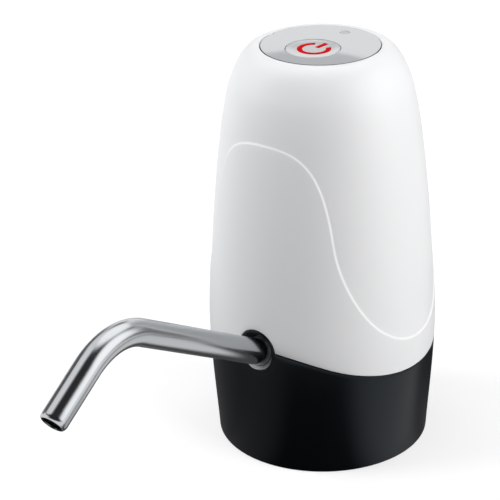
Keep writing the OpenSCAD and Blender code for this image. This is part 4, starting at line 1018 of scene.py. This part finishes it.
# Battery: one rechargeable cell in a blue shrink sleeve, with welded tabs.
# It stands in the chassis beside the motor.
cell_top = 101.6
sleeve, sleeve_shader, place = new_material("cell_sleeve", 0.3)
bare_end = place.along((0, 0, 1)).ramp((cell_top - 1.25) * MM, (cell_top - 1.1) * MM)
sleeve_clouds = place.noise(120, 3)
sleeve_blue = sleeve_clouds.between((0.012, 0.09, 0.30, 1), (0.02, 0.13, 0.38, 1))
feed(sleeve_shader, "Base Color", bare_end.between(sleeve_blue, (0.55, 0.55, 0.56, 1)))
feed(sleeve_shader, "Metallic", bare_end)
feed(sleeve_shader, "Roughness", sleeve_clouds * 0.1 + 0.25)
dress_nodes(sleeve, "battery_cell")


# Leads: four insulated stranded wires, soldered to the board.
# Two come from the cell's tabs, and two push onto the motor's terminals with sleeved connectors.
lead_r, board_under = 0.8, 121.0


def strand(name, points):
    """A round lead along a smooth line through its points."""
    bpy.ops.curve.primitive_nurbs_path_add(location=(0, 0, 0))
    piece = bpy.context.object
    piece.name = name
    piece.data.splines.clear()
    line = piece.data.splines.new("NURBS")
    line.points.add(len(points) - 1)
    for point, knot in zip(line.points, points):
        point.co = (*(c * MM for c in knot), 1)
    line.order_u, line.use_endpoint_u, line.resolution_u = 3, True, 12
    piece.data.bevel_depth = lead_r * MM
    piece.data.bevel_resolution = 5
    piece.data.use_fill_caps = True
    bpy.ops.object.convert(target="MESH")
    closed_up(1e-7)
    return piece


def connector(x):
    """A push-on connector over a motor terminal."""
    piece = block((x, motor_y, 104.8), (3.2, 4.2, 4))
    modify(piece, "BEVEL", width=0.4 * MM, segments=3)
    cut(piece, block((x, motor_y, 104.3), (0.7, 2.4, 3.6)))
    smooth()
    return piece


side_x, side_y = 1.27, 21.46
red_x, black_x = -12.5, 0.5
lead_y = motor_y + 1
red_cell = strand(
    "red_cell_lead",
    [(10, 16, 101.95), (10, 15.2, 106), (10, 14, 111.5), (8.6, 12, 116.5), (8, 11, board_under)],
)
black_cell = strand(
    "black_cell_lead",
    [*((side_x, side_y, z) for z in (36.65, 70, 98, 102.5)), (3, 19.8, 113), (4, 19, board_under)],
)
red_motor = strand(
    "red_motor_lead",
    [(red_x, motor_y, 106.4), (red_x, lead_y, 110), (-11.9, -7.4, 114.5), (-11, -6, board_under)],
)
black_motor = strand(
    "black_motor_lead",
    [(black_x, motor_y, 106.4), (black_x, lead_y, 110), (-0.8, -7.4, 114.5), (-2, -6, board_under)],
)
red_sleeve = moulded("red_insulation", (0.50, 0.015, 0.012), 0.4, mottle=0.05, depth=0.004)
black_sleeve = moulded("black_insulation", (0.012, 0.012, 0.013), 0.4, mottle=0.08, depth=0.004)
for piece, material in ((red_cell, red_sleeve), (black_cell, black_sleeve)):
    dress(piece, material)
    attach(piece, "housing")
    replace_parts(piece, "battery_leads")
for piece, x, material in ((red_motor, red_x, red_sleeve), (black_motor, black_x, black_sleeve)):
    piece = joined(piece, connector(x))
    dress(piece, material)
    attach(piece, "housing")
    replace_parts(piece, "motor_leads")


# Control board: green glass laminate with the switch, the charge light and the charging socket soldered on.
# It hangs from the shell's posts on three screws.
laminate, laminate_shader, place = new_material("green_laminate", 0.35)
tracks = place.node(
    "ShaderNodeTexBrick",
    {"offset": 0.35, "squash": 1.0},
    {
        "Vector": place,
        "Color1": (0.008, 0.10, 0.035, 1),
        "Color2": (0.010, 0.115, 0.042, 1),
        "Mortar": (0.025, 0.19, 0.07, 1),
        "Scale": 130,
        "Mortar Size": 0.04,
    },
    "Color",
)
feed(laminate_shader, "Base Color", tracks)
feed(laminate_shader, "Roughness", place.noise(1500, 2) * 0.15 + 0.28)
dress_nodes(laminate, "control_board")
dress_nodes(dark_nylon, "switch_body")
plunger_grey = moulded("plunger_nylon", (0.06, 0.06, 0.062), 0.4, mottle=0.06)
dress_nodes(plunger_grey, "switch_plunger")
lamp_resin = moulded("lamp_resin", (0.62, 0.80, 0.62), 0.15, mottle=0.02, depth=0.001)
dress_nodes(lamp_resin, "status_led")
socket_metal, socket_shader, place = new_material("socket_steel", 0.3)
socket_half, socket_y, socket_blur = 0.55 * MM, 26.9 * MM, 0.1 * MM
off_axis = place.along((0, 0, 1)) - slot_z * MM
mouth = 1 - (off_axis * off_axis).ramp(socket_half**2, (socket_half + socket_blur / 2) ** 2)
mouth = mouth * (1 - place.along((0, 1, 0)).ramp(socket_y, socket_y + socket_blur))
feed(socket_shader, "Base Color", mouth.between((0.58, 0.58, 0.59, 1), (0.012, 0.012, 0.013, 1)))
feed(socket_shader, "Metallic", 1 - mouth)
dress_nodes(socket_metal, "charge_socket")


# Screws: small pan heads in plated steel, which hold the case, chassis, board, pump and motor.
# The case and chassis screws go in from below through the deck.
dress_nodes(plated_steel, "case_screws", "chassis_screws", "board_screws", "pump_screws", "motor_screws")
